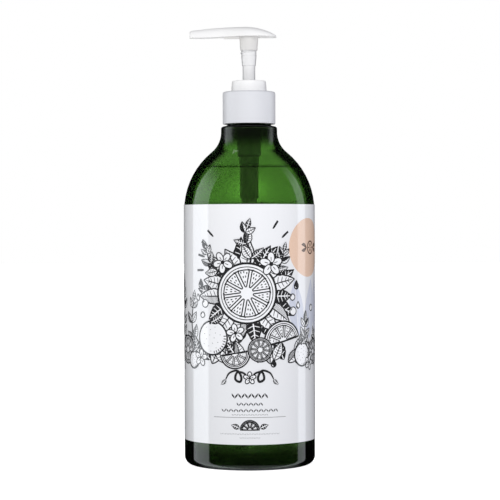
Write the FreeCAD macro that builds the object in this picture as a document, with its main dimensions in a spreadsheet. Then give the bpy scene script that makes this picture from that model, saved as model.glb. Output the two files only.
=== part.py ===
# Dish soap bottle with a press pump, in millimetres, standing on Z = 0 with its axis on Z.
# The spout points along -X and the front of the label faces -Y.
# A blown green bottle holds clear soap and carries a wrap label. A screw closure holds the pump down on
# the neck: housing, gasket, locking collar, dip tube, inlet ball, spring, piston, stem, outlet ball, head.

import FreeCAD
import Part

import math
import os

import Sketcher

# Driving dimensions. Lengths are in millimetres, angles in degrees.
SIZES = {
    # Bottle
    "body_radius": 38.15,
    "bottle_wall": 0.8,
    "heel_radius": 5.0,
    "ring_width": 3.0,
    "dome_rise": 5.0,
    "dome_flat_radius": 14.0,
    "dome_radius": 20.0,
    "ring_edge": 2.0,
    "base_thickness": 1.2,
    "shoulder_base": 148.2,
    "shoulder_radius": 44.0,
    "shoulder_angle": 50.3,
    "throat_radius": 15.2,
    "foot_radius": 16.4,
    "foot_height": 2.9,
    "foot_step": 0.9,
    "foot_edge": 1.4,
    "foot_fillet": 0.6,
    "neck_edge": 0.5,
    "neck_radius": 12.75,
    "neck_bore": 10.75,
    "neck_height": 16.15,
    # Screw thread of the neck and closure
    "thread_pitch": 4.23,
    "thread_turns": 1.5,
    "thread_depth": 1.0,
    "thread_root": 2.3,
    "thread_crest": 1.1,
    "thread_lead": 1.9,
    "thread_clearance": 0.3,
    "thread_gap": 0.05,
    "closure_turns": 1.25,
    # Label and soap
    "label_bottom": 15.2,
    "label_height": 136.3,
    "label_thickness": 0.12,
    "label_overlap": 10.0,
    "glue_film": 0.02,
    "soap_level": 174.0,
    "soap_gap": 0.15,
    # Closure
    "closure_radius": 15.4,
    "closure_wall": 1.3,
    "closure_roof": 1.2,
    "closure_gap": 0.85,
    "closure_rim": 1.2,
    "closure_edge": 0.3,
    "hole_clearance": 0.6,
    "play": 0.1,
    # Gasket, housing and tube
    "gasket_thickness": 1.0,
    "gasket_clearance": 0.3,
    "flange_radius": 12.5,
    "flange_thickness": 1.2,
    "crown_radius": 8.3,
    "crown_height": 4.8,
    "bead_height": 0.3,
    "bead_width": 0.8,
    "bead_level": 2.0,
    "bore_radius": 6.3,
    "barrel_wall": 0.7,
    "bore_margin": 2.8,
    "cup_radius": 5.1,
    "cup_depth": 5.0,
    "chamber_radius": 3.1,
    "chamber_depth": 5.3,
    "seat_radius": 1.5,
    "seat_thickness": 1.3,
    "rib_reach": 1.1,
    "rib_width": 0.9,
    "rib_height": 1.2,
    "socket_wall": 0.6,
    "socket_depth": 14.3,
    "vent_radius": 0.6,
    "vent_drop": 5.0,
    "tube_radius": 3.38,
    "tube_wall": 0.78,
    "tube_fit": 0.02,
    "tube_gap": 2.0,
    "tube_slant": 40.0,
    "soap_clearance": 0.3,
    # Locking collar
    "collar_radius": 10.4,
    "collar_taper": 0.5,
    "collar_height": 6.3,
    "collar_rim": 0.8,
    "collar_fit": 0.05,
    "recess_edge": 0.4,
    "guide_edge": 0.2,
    "recess_radius": 5.35,
    "recess_depth": 9.5,
    "guide_depth": 15.7,
    "guide_clearance": 0.1,
    # Piston, spring and balls
    "stroke": 15.0,
    "lock_travel": 2.8,
    "piston_gap": 0.3,
    "piston_height": 8.9,
    "seal_clearance": 0.05,
    "lip_depth": 1.2,
    "lip_flare": 0.25,
    "skirt_wall": 0.7,
    "web_drop": 5.5,
    "web_thickness": 1.2,
    "hub_wall": 0.8,
    "hub_drop": 0.9,
    "hub_length": 6.0,
    "spring_radius": 4.3,
    "wire_radius": 0.5,
    "spring_turns": 8.0,
    "spring_closed_turns": 1.0,
    "spring_gap": 0.05,
    "inlet_ball_radius": 2.4,
    "outlet_ball_radius": 2.0,
    "ball_gap": 0.05,
    "ball_lift": 1.9,
    # Stem
    "stem_radius": 3.65,
    "stem_bore": 1.6,
    "spigot_radius": 2.75,
    "spigot_fit": 0.05,
    "snap_height": 0.25,
    "snap_width": 0.7,
    "stem_tip": 0.4,
    "stem_edge": 0.25,
    "stem_land_step": 0.1,
    "cone_height": 5.7,
    "lock_step": 0.5,
    "cone_low_radius": 3.95,
    "cone_high_radius": 4.45,
    "plug_radius": 3.4,
    "plug_length": 5.8,
    "valve_radius": 2.45,
    "valve_seat_radius": 1.2,
    "valve_depth": 7.75,
    # Twist lock thread between stem and collar
    "lock_pitch": 2.6,
    "lock_turns": 0.9,
    "lock_depth": 0.5,
    "lock_overlap": 0.23,
    "lock_margin": 1.0,
    "lock_root": 0.9,
    "lock_crest": 0.4,
    "lock_clearance": 0.25,
    # Head
    "head_fit": 0.03,
    "head_wall": 1.3,
    "head_edge": 0.9,
    "skirt_height": 8.0,
    "skirt_low_radius": 5.0,
    "skirt_high_radius": 5.55,
    "spout_reach": 34.6,
    "spout_height": 4.0,
    "spout_drop": 0.7,
    "spout_bend_front": 26.0,
    "spout_bend_back": 8.0,
    "spout_half_width": 3.4,
    "spout_edge": 1.2,
    "waist_reach": 13.0,
    "waist_half_width": 4.4,
    "waist_radius": 26.0,
    "crest_offset": 2.6,
    "crest_height": 5.6,
    "saddle_place": 1.5,
    "saddle_half_width": 9.3,
    "saddle_radius": 24.0,
    "tail_reach": 16.2,
    "tail_half_width": 6.3,
    "tail_radius": 6.8,
    "tail_height": 0.4,
    "tail_drop": 0.4,
    "tail_lip": 4.0,
    "hollow_front": 14.0,
    "duct_radius": 1.5,
    "duct_wall": 1.1,
    "duct_level": 1.35,
    "riser_radius": 2.0,
    "pin_radius": 0.7,
    "plug_gap": 0.3,
}

# Counts that are not sizes.
BALL_RIBS = 3
SPRING_STEPS = 16

doc = FreeCAD.newDocument("soap_bottle")
sheet = doc.addObject("Spreadsheet::Sheet", "Dims")
for row, (alias, number) in enumerate(SIZES.items(), start=1):
    sheet.set("A%d" % row, alias)
    sheet.set("B%d" % row, str(number))
    sheet.setAlias("B%d" % row, alias)
doc.recompute()


class Size:
    """A size that carries its value and the sheet expression that it comes from."""

    def __init__(self, value, text):
        self.value = value
        self.text = text

    def join(self, other, sign, value):
        text = other.text if isinstance(other, Size) else repr(other)
        return Size(value, "(%s %s %s)" % (self.text, sign, text))

    def __add__(self, other):
        return self.join(other, "+", self.value + plain(other))

    def __sub__(self, other):
        return self.join(other, "-", self.value - plain(other))

    def __mul__(self, other):
        return self.join(other, "*", self.value * plain(other))

    def __truediv__(self, other):
        return self.join(other, "/", self.value / plain(other))

    def __neg__(self):
        return self * -1


def plain(size):
    """The number behind a size or a number."""
    return size.value if isinstance(size, Size) else size


def dim(alias):
    """A driving dimension read from the sheet."""
    return Size(float(sheet.get(alias)), "Dims." + alias)


def tangent(size):
    """The tangent of a size in degrees."""
    return Size(math.tan(math.radians(size.value)), "tan(%s)" % size.text)


def origin_plane(body, role):
    """The body's own origin plane with that role."""
    return next(f for f in body.Origin.OriginFeatures if f.Role == role)


def new_body(name):
    """A PartDesign body whose label names its file."""
    body = doc.addObject("PartDesign::Body", name)
    body.Label = name
    return body


def new_sketch(body, name, role="XZ_Plane", offset=None):
    """A sketch on one of the body's origin planes, moved off it by a size if one is given."""
    sketch = body.newObject("Sketcher::SketchObject", name)
    sketch.AttachmentSupport = [(origin_plane(body, role), "")]
    sketch.MapMode = "FlatFace"
    if offset is not None:
        sketch.AttachmentOffset.Base.z = plain(offset)
        sketch.setExpression("AttachmentOffset.Base.z", offset.text)
    return sketch


def pin_point(sketch, geo, end, x, y):
    """Ties a point to the origin by its two coordinates. A plain 0 puts it on the axis."""
    for kind, axis, size in (("DistanceX", -2, x), ("DistanceY", -1, y)):
        if isinstance(size, Size):
            index = sketch.addConstraint(Sketcher.Constraint(kind, -1, 1, geo, end, size.value))
            sketch.setExpression("Constraints[%d]" % index, size.text)
        else:
            sketch.addConstraint(Sketcher.Constraint("PointOnObject", geo, end, axis))


def rounding(before, corner, after, radius):
    """Where a corner's rounding touches the lines beside it, with its centre."""
    back = (before - corner).normalize()
    ahead = (after - corner).normalize()
    half = back.getAngle(ahead) / 2
    reach = radius / math.tan(half)
    middle = (back + ahead).normalize() * (radius / math.sin(half))
    return corner + back * reach, corner + middle, corner + ahead * reach


def outline(sketch, corners):
    """Draws a closed outline through corners (x, y) or (x, y, radius), tied to the sheet."""
    points = [FreeCAD.Vector(plain(c[0]), plain(c[1]), 0) for c in corners]
    count = len(points)
    starts, ends, arcs = list(points), list(points), {}
    for i, corner in enumerate(corners):
        if len(corner) == 3:
            before, after = points[i - 1], points[(i + 1) % count]
            first, centre, last = rounding(before, points[i], after, plain(corner[2]))
            ends[i], starts[i] = first, last
            arcs[i] = (first, centre, last)
    lines = []
    for i in range(count):
        segment = Part.LineSegment(starts[i], ends[(i + 1) % count])
        lines.append(sketch.addGeometry(segment, False))
    for i, corner in enumerate(corners):
        line_in, line_out = lines[i - 1], lines[i]
        if i in arcs:
            round_corner(sketch, corner, points[i], line_in, line_out, arcs[i])
        else:
            sketch.addConstraint(Sketcher.Constraint("Coincident", line_in, 2, line_out, 1))
            pin_point(sketch, line_out, 1, corner[0], corner[1])


def round_corner(sketch, corner, point, line_in, line_out, arc):
    """Adds a tangent arc between two lines that would meet at the corner."""
    first, centre, last = arc
    radius = corner[2]
    a = math.atan2(first.y - centre.y, first.x - centre.x)
    b = math.atan2(last.y - centre.y, last.x - centre.x)
    clockwise = math.sin(b - a) < 0
    circle = Part.Circle(centre, FreeCAD.Vector(0, 0, 1), plain(radius))
    curve = Part.ArcOfCircle(circle, b, a) if clockwise else Part.ArcOfCircle(circle, a, b)
    geo = sketch.addGeometry(curve, False)
    arc_in, arc_out = (2, 1) if clockwise else (1, 2)
    sketch.addConstraint(Sketcher.Constraint("Tangent", line_in, 2, geo, arc_in))
    sketch.addConstraint(Sketcher.Constraint("Tangent", geo, arc_out, line_out, 1))
    index = sketch.addConstraint(Sketcher.Constraint("Radius", geo, plain(radius)))
    sketch.setExpression("Constraints[%d]" % index, radius.text)
    mark = sketch.addGeometry(Part.Point(point), True)
    pin_point(sketch, mark, 1, corner[0], corner[1])
    sketch.addConstraint(Sketcher.Constraint("PointOnObject", mark, 1, line_in))
    sketch.addConstraint(Sketcher.Constraint("PointOnObject", mark, 1, line_out))


def turned(body, name, corners, kind="PartDesign::Revolution", angle=360):
    """Turns an outline in X and Z about Z, adding to the body or cutting from it."""
    sketch = new_sketch(body, name + "_outline")
    outline(sketch, corners)
    doc.recompute()
    feature = body.newObject(kind, name)
    feature.Profile = sketch
    feature.ReferenceAxis = (sketch, ["V_Axis"])
    if isinstance(angle, Size):
        feature.Angle = angle.value
        feature.setExpression("Angle", angle.text)
    else:
        feature.Angle = angle
    doc.recompute()
    return feature


def helical_ridge(body, name, tooth, level, pitch, turns):
    """Adds a right-hand thread ridge. The tooth gives wall radius, crest radius, root and crest width."""
    wall, crest, root_width, crest_width = tooth
    sketch = new_sketch(body, name + "_tooth")
    half_root, half_crest = root_width / 2, crest_width / 2
    outline(
        sketch,
        [
            (wall, level - half_root),
            (crest, level - half_crest),
            (crest, level + half_crest),
            (wall, level + half_root),
        ],
    )
    doc.recompute()
    ridge = body.newObject("PartDesign::AdditiveHelix", name)
    ridge.Profile = sketch
    ridge.ReferenceAxis = (sketch, ["V_Axis"])
    ridge.Mode = "pitch-turns-angle"
    ridge.Pitch = pitch.value
    ridge.Turns = turns.value
    ridge.setExpression("Pitch", pitch.text)
    ridge.setExpression("Turns", turns.text)
    doc.recompute()
    return ridge


def round_hole(sketch, x, y, radius):
    """Draws a circle at a place given by its two coordinates."""
    centre = FreeCAD.Vector(plain(x), plain(y), 0)
    circle = sketch.addGeometry(Part.Circle(centre, FreeCAD.Vector(0, 0, 1), radius.value), False)
    index = sketch.addConstraint(Sketcher.Constraint("Radius", circle, radius.value))
    sketch.setExpression("Constraints[%d]" % index, radius.text)
    pin_point(sketch, circle, 3, x, y)


def extruded(body, kind, name, sketch, length, midplane):
    """A pad or pocket of a sketch, through a length or half of it each way."""
    doc.recompute()
    feature = body.newObject(kind, name)
    feature.Profile = sketch
    feature.Midplane = midplane
    feature.Length = length.value
    feature.setExpression("Length", length.text)
    doc.recompute()
    return feature


def padded(body, name, sketch, length, midplane=False):
    """A pad of a sketch."""
    return extruded(body, "PartDesign::Pad", name, sketch, length, midplane)


def pocketed(body, name, sketch, length, midplane=False):
    """A pocket of a sketch."""
    return extruded(body, "PartDesign::Pocket", name, sketch, length, midplane)


# Levels and radii that several pieces share. Levels are counted up from the standing ring.
half_slope = dim("shoulder_angle") / 2
shoulder_corner = dim("shoulder_base") + dim("shoulder_radius") * tangent(half_slope)
throat_fall = (dim("body_radius") - dim("foot_radius")) / tangent(dim("shoulder_angle"))
throat_corner = shoulder_corner + throat_fall
foot_top = throat_corner + dim("throat_radius") * tangent(half_slope) + dim("foot_height")
neck_root = foot_top + dim("foot_step")
neck_top = neck_root + dim("neck_height")
neck_thread_reach = dim("thread_lead") + dim("thread_root") / 2 + dim("thread_pitch") * dim("thread_turns")
neck_thread_start = neck_top - neck_thread_reach
flange_low = neck_top + dim("gasket_thickness")
flange_high = flange_low + dim("flange_thickness")
roof_low = flange_high + dim("play")
closure_top = roof_low + dim("closure_roof")
collar_low = closure_top + dim("play")
collar_top = collar_low + dim("collar_height")
crown_top = flange_high + dim("crown_height")
guide_low = collar_top - dim("guide_depth")
recess_low = collar_top - dim("recess_depth")
piston_top = guide_low - dim("piston_gap")
piston_low = piston_top - dim("piston_height")
web_low = piston_top - dim("web_drop")
hub_top = piston_top - dim("hub_drop")
hub_low = hub_top - dim("hub_length")
bore_low = piston_low - dim("stroke") - dim("bore_margin")
ledge = bore_low - dim("cup_depth")
chamber_low = ledge - dim("chamber_depth")
seat_level = chamber_low - (dim("chamber_radius") - dim("seat_radius"))
socket_top = seat_level - dim("seat_thickness")
socket_low = socket_top - dim("socket_depth")
tube_low = dim("dome_rise") + dim("base_thickness") + dim("tube_gap")
cone_top = collar_top + dim("stroke") - dim("lock_step")
cone_low = cone_top - dim("cone_height")
head_low = collar_top + dim("stroke") + dim("lock_travel")
head_base = head_low + dim("skirt_height")
plug_top = head_low + dim("plug_length")
valve_level = plug_top - dim("valve_depth")
valve_foot = valve_level - (dim("valve_radius") - dim("valve_seat_radius"))
ring_inner = dim("body_radius") - dim("heel_radius") - dim("ring_width")
tube_bore = dim("tube_radius") - dim("tube_wall")
barrel_radius = dim("bore_radius") + dim("barrel_wall")
barrel_foot = bore_low - dim("barrel_wall")
cup_outer = dim("cup_radius") + dim("barrel_wall")
cup_shoulder = barrel_foot - (barrel_radius - cup_outer)
cup_foot = ledge - dim("barrel_wall")
tube_socket = dim("tube_radius") + dim("tube_fit")
stalk_radius = tube_socket + dim("socket_wall")
stalk_top = cup_foot - (cup_outer - stalk_radius)
stem_land = dim("cone_high_radius") - dim("stem_land_step")
stem_crest = stem_land + dim("lock_depth")


def inside_corners(gap):
    """The corners of the bottle's inside, drawn in from its outside by a gap, from floor to neck."""
    floor = dim("base_thickness") + (gap - dim("bottle_wall"))
    shift = gap * tangent(half_slope)
    wall = dim("body_radius") - gap
    foot = dim("foot_radius") - gap
    neck = dim("neck_bore") - (gap - dim("bottle_wall"))
    return [
        (0, dim("dome_rise") + floor),
        (dim("dome_flat_radius"), dim("dome_rise") + floor, dim("dome_radius")),
        (ring_inner, floor, dim("ring_edge")),
        (wall, floor, dim("heel_radius") - gap),
        (wall, shoulder_corner - shift, dim("shoulder_radius") - gap),
        (foot, throat_corner - shift, dim("throat_radius") + gap),
        (foot, foot_top - gap, dim("foot_fillet") + gap),
        (neck, neck_root - gap, dim("neck_edge")),
    ]


def make_bottle():
    """The blown bottle: domed base, straight body, round shoulder, stepped neck foot, threaded neck."""
    body = new_body("bottle")
    outside = [
        (dim("neck_bore"), neck_top),
        (dim("neck_radius"), neck_top, dim("neck_edge")),
        (dim("neck_radius"), neck_root, dim("foot_fillet")),
        (dim("foot_radius"), foot_top, dim("foot_edge")),
        (dim("foot_radius"), throat_corner, dim("throat_radius")),
        (dim("body_radius"), shoulder_corner, dim("shoulder_radius")),
        (dim("body_radius"), 0, dim("heel_radius")),
        (ring_inner, 0, dim("ring_edge")),
        (dim("dome_flat_radius"), dim("dome_rise"), dim("dome_radius")),
        (0, dim("dome_rise")),
    ]
    turned(body, "bottle_shell", outside + inside_corners(dim("bottle_wall")))
    root = dim("neck_radius") - dim("thread_clearance")
    crest = dim("neck_radius") + dim("thread_depth")
    tooth = [root, crest, dim("thread_root"), dim("thread_crest")]
    helical_ridge(body, "neck_thread", tooth, neck_thread_start, dim("thread_pitch"), dim("thread_turns"))
    return body


def make_closure():
    """The smooth screw closure: skirt, roof with a hole for the pump, and an inner thread."""
    body = new_body("closure")
    bore = dim("closure_radius") - dim("closure_wall")
    hole = dim("crown_radius") + dim("bead_height") + dim("hole_clearance")
    low = neck_root + dim("closure_gap")
    turned(
        body,
        "closure_shell",
        [
            (bore, low),
            (dim("closure_radius"), low, dim("closure_edge")),
            (dim("closure_radius"), closure_top, dim("closure_rim")),
            (hole, closure_top, dim("closure_edge")),
            (hole, roof_low),
            (bore, roof_low, dim("closure_edge")),
        ],
    )
    root = bore + dim("thread_clearance")
    crest = dim("neck_radius") + dim("thread_clearance")
    tooth = [root, crest, dim("thread_root"), dim("thread_crest")]
    drop = (dim("thread_root") + dim("thread_crest")) / 2 + dim("thread_gap")
    start = neck_thread_start - drop
    helical_ridge(body, "closure_thread", tooth, start, dim("thread_pitch"), dim("closure_turns"))
    return body


def make_label():
    """The wrap label, glued round the straight wall, with its ends overlapping at the back."""
    body = new_body("label")
    low = dim("label_bottom")
    top = low + dim("label_height")
    inner = dim("body_radius") + dim("glue_film")
    outer = inner + dim("label_thickness")
    turned(body, "label_wrap", [(inner, low), (outer, low), (outer, top), (inner, top)])
    middle = outer - dim("label_thickness") / 2
    lap = outer + dim("label_thickness")
    lap_corners = [(middle, low), (lap, low), (lap, top), (middle, top)]
    turned(body, "label_lap", lap_corners, angle=dim("label_overlap"))
    half_lap = dim("label_overlap") / 2
    body.setExpression("Placement.Rotation.Yaw", "90 - " + half_lap.text)
    return body


def make_soap():
    """The soap: it fills the bottle to its level, stands clear of the pump and fills the dip tube."""
    body = new_body("liquid_soap")
    gap = dim("bottle_wall") + dim("soap_gap")
    brim = [(dim("neck_bore") - dim("soap_gap"), neck_top), (0, neck_top)]
    turned(body, "soap_fill", inside_corners(gap) + brim)
    level, above, wide = dim("soap_level"), neck_top + dim("neck_height"), dim("body_radius") * 2
    surface = [(0, level), (wide, level), (wide, above), (0, above)]
    turned(body, "soap_surface", surface, kind="PartDesign::Groove")
    clear = dim("soap_clearance")
    inside = tube_bore - clear
    turned(
        body,
        "soap_round_pump",
        [
            (inside, tube_low - clear),
            (dim("tube_radius") + clear, tube_low - clear),
            (dim("tube_radius") + clear, socket_low - clear),
            (stalk_radius + clear, socket_low - clear),
            (stalk_radius + clear, stalk_top - clear),
            (cup_outer + clear, cup_foot - clear),
            (cup_outer + clear, cup_shoulder - clear),
            (barrel_radius + clear, barrel_foot - clear),
            (barrel_radius + clear, above),
            (0, above),
            (0, socket_top - clear),
            (inside, socket_top - clear),
        ],
        kind="PartDesign::Groove",
    )
    return body


def make_gasket():
    """The foam gasket between the housing's flange and the neck's rim."""
    body = new_body("neck_gasket")
    inner = barrel_radius + dim("gasket_clearance")
    outer = dim("flange_radius")
    turned(body, "gasket_ring", [(inner, neck_top), (outer, neck_top), (outer, flange_low), (inner, flange_low)])
    return body


def make_housing():
    """The pump housing: crown, flange, barrel, spring cup, ball chamber with its seat, tube socket."""
    body = new_body("pump_housing")
    bead_low = flange_high + dim("bead_level")
    bead_high = bead_low + dim("bead_width")
    bead = dim("crown_radius") + dim("bead_height")
    turned(
        body,
        "housing_shell",
        [
            (dim("bore_radius"), crown_top),
            (dim("crown_radius"), crown_top),
            (dim("crown_radius"), bead_high),
            (bead, bead_high - dim("bead_height")),
            (bead, bead_low + dim("bead_height") / 2),
            (dim("crown_radius"), bead_low),
            (dim("crown_radius"), flange_high),
            (dim("flange_radius"), flange_high),
            (dim("flange_radius"), flange_low),
            (barrel_radius, flange_low),
            (barrel_radius, barrel_foot),
            (cup_outer, cup_shoulder),
            (cup_outer, cup_foot),
            (stalk_radius, stalk_top),
            (stalk_radius, socket_low),
            (tube_socket, socket_low),
            (tube_socket, socket_top),
            (dim("seat_radius"), socket_top),
            (dim("seat_radius"), seat_level),
            (dim("chamber_radius"), chamber_low),
            (dim("chamber_radius"), ledge),
            (dim("cup_radius"), ledge),
            (dim("cup_radius"), bore_low - (dim("bore_radius") - dim("cup_radius"))),
            (dim("bore_radius"), bore_low),
        ],
    )
    add_ball_ribs(body)
    add_vent(body)
    return body


def add_ball_ribs(body):
    """Three small ribs at the top of the ball chamber, which keep the inlet ball in."""
    sketch = new_sketch(body, "rib_outline", "XY_Plane", ledge - dim("rib_height"))
    inner = dim("chamber_radius") - dim("rib_reach")
    outer = dim("chamber_radius") + dim("barrel_wall") / 2
    half = dim("rib_width") / 2
    outline(sketch, [(inner, -half), (outer, -half), (outer, half), (inner, half)])
    rib = padded(body, "ball_rib", sketch, dim("rib_height"))
    ribs = body.newObject("PartDesign::PolarPattern", "ball_ribs")
    ribs.Originals = [rib]
    ribs.Axis = (sketch, ["N_Axis"])
    ribs.Angle = 360
    ribs.Occurrences = BALL_RIBS
    body.Tip = ribs
    doc.recompute()


def add_vent(body):
    """The air vent through the barrel just under the flange, on the side away from the label's lap."""
    sketch = new_sketch(body, "vent_outline")
    round_hole(sketch, 0, flange_low - dim("vent_drop"), dim("vent_radius"))
    pocketed(body, "vent", sketch, barrel_radius + dim("barrel_wall"))


def make_collar():
    """The locking collar: snaps over the housing's crown, guides the stem and takes its twist lock."""
    body = new_body("locking_collar")
    pocket = dim("crown_radius") + dim("collar_fit")
    groove = pocket + dim("bead_height")
    bead_low = flange_high + dim("bead_level") - dim("collar_fit")
    bead_high = bead_low + dim("bead_width") + dim("collar_fit") * 2
    tube = dim("bore_radius") - dim("guide_clearance")
    narrow = dim("stem_radius") + dim("guide_clearance")
    turned(
        body,
        "collar_shell",
        [
            (pocket, collar_low),
            (dim("collar_radius"), collar_low),
            (dim("collar_radius") - dim("collar_taper"), collar_top, dim("collar_rim")),
            (dim("recess_radius"), collar_top, dim("recess_edge")),
            (dim("recess_radius"), recess_low),
            (narrow, recess_low, dim("guide_edge")),
            (narrow, guide_low),
            (tube, guide_low),
            (tube, crown_top + dim("play")),
            (pocket, crown_top + dim("play")),
            (pocket, bead_high),
            (groove, bead_high - dim("bead_height")),
            (groove, bead_low + dim("bead_height") / 2),
            (pocket, bead_low),
        ],
    )
    root = dim("recess_radius") + dim("lock_clearance")
    tooth = [root, stem_crest - dim("lock_overlap"), dim("lock_root"), dim("lock_crest")]
    start = collar_top - dim("lock_margin") - dim("lock_root") / 2 - dim("lock_pitch") * dim("lock_turns")
    helical_ridge(body, "collar_thread", tooth, start, dim("lock_pitch"), dim("lock_turns"))
    return body


def make_dip_tube():
    """The dip tube, pushed up into the housing's socket and cut on a slant at its foot."""
    body = new_body("dip_tube")
    outer = dim("tube_radius")
    top = socket_top - dim("tube_fit")
    turned(body, "tube_ring", [(tube_bore, tube_low), (outer, tube_low), (outer, top), (tube_bore, top)])
    sketch = new_sketch(body, "slant_outline")
    reach = outer + dim("tube_wall")
    rise = reach * 2 * tangent(dim("tube_slant"))
    outline(sketch, [(-reach, tube_low), (reach, tube_low - dim("tube_wall")), (reach, tube_low + rise)])
    pocketed(body, "slant_cut", sketch, reach * 2, midplane=True)
    return body


def make_piston():
    """The piston: two sealing lips, a web for the spring and a hub that snaps onto the stem."""
    body = new_body("piston")
    seal = dim("bore_radius") - dim("seal_clearance")
    waist = seal - dim("lip_flare")
    inner = waist - dim("skirt_wall")
    hub_bore = dim("spigot_radius") + dim("spigot_fit")
    hub = hub_bore + dim("hub_wall")
    web_high = web_low + dim("web_thickness")
    turned(
        body,
        "piston_shell",
        [
            (hub_bore, hub_low),
            (hub, hub_low),
            (hub, web_low),
            (inner, web_low),
            (inner, piston_low),
            (seal, piston_low),
            (waist, piston_low + dim("lip_depth")),
            (waist, piston_top - dim("lip_depth")),
            (seal, piston_top),
            (inner, piston_top),
            (inner, web_high),
            (hub, web_high),
            (hub, hub_top),
            (hub_bore, hub_top),
        ],
    )
    return body


def make_spring():
    """The return spring: one wire whose end turns close up, between the cup's ledge and the piston's web."""
    radius, wire = dim("spring_radius").value, dim("wire_radius").value
    gap, closed = dim("spring_gap").value, dim("spring_closed_turns").value
    turns = dim("spring_turns").value
    level = ledge.value + gap + wire
    height = web_low.value - ledge.value - (gap + wire) * 2
    tight = wire * 2 + gap
    climb = (height - tight * closed * 2) / (turns - closed * 2)
    points = []
    for step in range(int(turns * SPRING_STEPS) + 1):
        angle = 2 * math.pi * step / SPRING_STEPS
        points.append(FreeCAD.Vector(radius * math.cos(angle), radius * math.sin(angle), level))
        turn = (step + 0.5) / SPRING_STEPS
        level += (tight if turn < closed or turn > turns - closed else climb) / SPRING_STEPS
    path = Part.BSplineCurve()
    path.interpolate(points)
    section = Part.Circle(points[0], path.tangent(path.FirstParameter)[0], wire).toShape()
    spring = doc.addObject("Part::Feature", "return_spring")
    spring.Label = "return_spring"
    spring.Shape = Part.Wire(path.toShape()).makePipeShell([Part.Wire(section)], True, True)
    return spring


def make_stem():
    """The stem: snap end for the piston, shaft, cone, twist lock thread, plug with the outlet valve."""
    body = new_body("pump_stem")
    snap_high = hub_low - dim("spigot_fit")
    snap_low = snap_high - dim("snap_width")
    tip = snap_low - dim("stem_tip")
    snap = dim("spigot_radius") + dim("snap_height")
    duct_top = valve_foot - dim("valve_seat_radius")
    turned(
        body,
        "stem_shell",
        [
            (dim("stem_bore"), tip),
            (dim("spigot_radius") - dim("snap_height"), tip),
            (snap, snap_low),
            (snap, snap_high),
            (dim("spigot_radius"), snap_high),
            (dim("spigot_radius"), hub_top),
            (dim("stem_radius"), hub_top, dim("stem_edge")),
            (dim("stem_radius"), cone_low),
            (dim("cone_low_radius"), cone_low),
            (dim("cone_high_radius"), cone_top),
            (stem_land, cone_top),
            (stem_land, head_low),
            (dim("plug_radius"), head_low),
            (dim("plug_radius"), plug_top, dim("stem_edge")),
            (dim("valve_radius"), plug_top),
            (dim("valve_radius"), valve_level),
            (dim("valve_seat_radius"), valve_foot),
            (dim("valve_seat_radius"), duct_top),
            (dim("stem_bore"), duct_top),
        ],
    )
    tooth = [stem_land - dim("lock_clearance"), stem_crest, dim("lock_root"), dim("lock_crest")]
    start = cone_top + dim("lock_root") / 2
    helical_ridge(body, "stem_thread", tooth, start, dim("lock_pitch"), dim("lock_turns"))
    return body


def rest_level(ball_radius, hole_radius, hole_level):
    """The centre level of a ball that rests in a 45 degree seat above a hole, with its small gap."""
    return hole_level + ball_radius * math.sqrt(2) - hole_radius + dim("ball_gap")


def make_ball(name, radius, level):
    """A valve ball on the axis."""
    sphere = doc.addObject("Part::Sphere", name)
    sphere.Label = name
    sphere.setExpression("Radius", radius.text)
    sphere.setExpression("Placement.Base.z", level.text)
    return sphere


def top_arc(sketch, crest, foot):
    """Half of the head's top line: an arc from the crest down to a foot, with its centre under the crest."""
    reach = foot[0].value - crest[0].value
    drop = crest[1].value - foot[1].value
    radius = (reach * reach + drop * drop) / (2 * drop)
    centre = FreeCAD.Vector(crest[0].value, crest[1].value - radius, 0)
    circle = Part.Circle(centre, FreeCAD.Vector(0, 0, 1), radius)
    right, left = (foot, crest) if reach > 0 else (crest, foot)
    angles = [math.atan2(p[1].value - centre.y, p[0].value - centre.x) for p in (right, left)]
    arc = sketch.addGeometry(Part.ArcOfCircle(circle, angles[0], angles[1]), False)
    foot_end = 1 if reach > 0 else 2
    pin_point(sketch, arc, foot_end, foot[0], foot[1])
    index = sketch.addConstraint(Sketcher.Constraint("DistanceX", -1, 1, arc, 3, centre.x))
    sketch.setExpression("Constraints[%d]" % index, crest[0].text)
    return arc


def head_side(sketch, inset, floor):
    """The head seen from the side: two arcs that meet at the crest, over a floor of given corners."""
    crest_top = head_base + dim("crest_height") - inset
    tip_top = head_base - dim("spout_drop") + dim("spout_height") - inset
    tail_top = head_base + dim("tail_height") - inset
    tip = (-dim("spout_reach"), tip_top)
    crest = (-dim("crest_offset"), crest_top)
    tail = (dim("tail_reach"), tail_top)
    front = top_arc(sketch, crest, tip)
    back = top_arc(sketch, crest, tail)
    sketch.addConstraint(Sketcher.Constraint("Coincident", front, 1, back, 2))
    pin_point(sketch, front, 1, crest[0], crest[1])
    path = [tail] + floor + [tip]
    lines = []
    for start, end in zip(path, path[1:]):
        ends = [FreeCAD.Vector(p[0].value, p[1].value, 0) for p in (start, end)]
        lines.append(sketch.addGeometry(Part.LineSegment(*ends), False))
    sketch.addConstraint(Sketcher.Constraint("Coincident", back, 1, lines[0], 1))
    sketch.addConstraint(Sketcher.Constraint("Coincident", lines[-1], 2, front, 2))
    for i, corner in enumerate(floor):
        sketch.addConstraint(Sketcher.Constraint("Coincident", lines[i], 2, lines[i + 1], 1))
        pin_point(sketch, lines[i], 2, corner[0], corner[1])


def head_plan(front_corners, inset):
    """The head seen from above, from corners on one side: waist to saddle to rounded tail."""
    side = front_corners + [
        (dim("saddle_place"), dim("saddle_half_width") - inset, dim("saddle_radius") - inset),
        (dim("tail_reach") - inset, dim("tail_half_width") - inset, dim("tail_radius") - inset),
    ]
    mirrored = [(c[0], -c[1], *c[2:]) for c in side]
    return mirrored + side[::-1]


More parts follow.
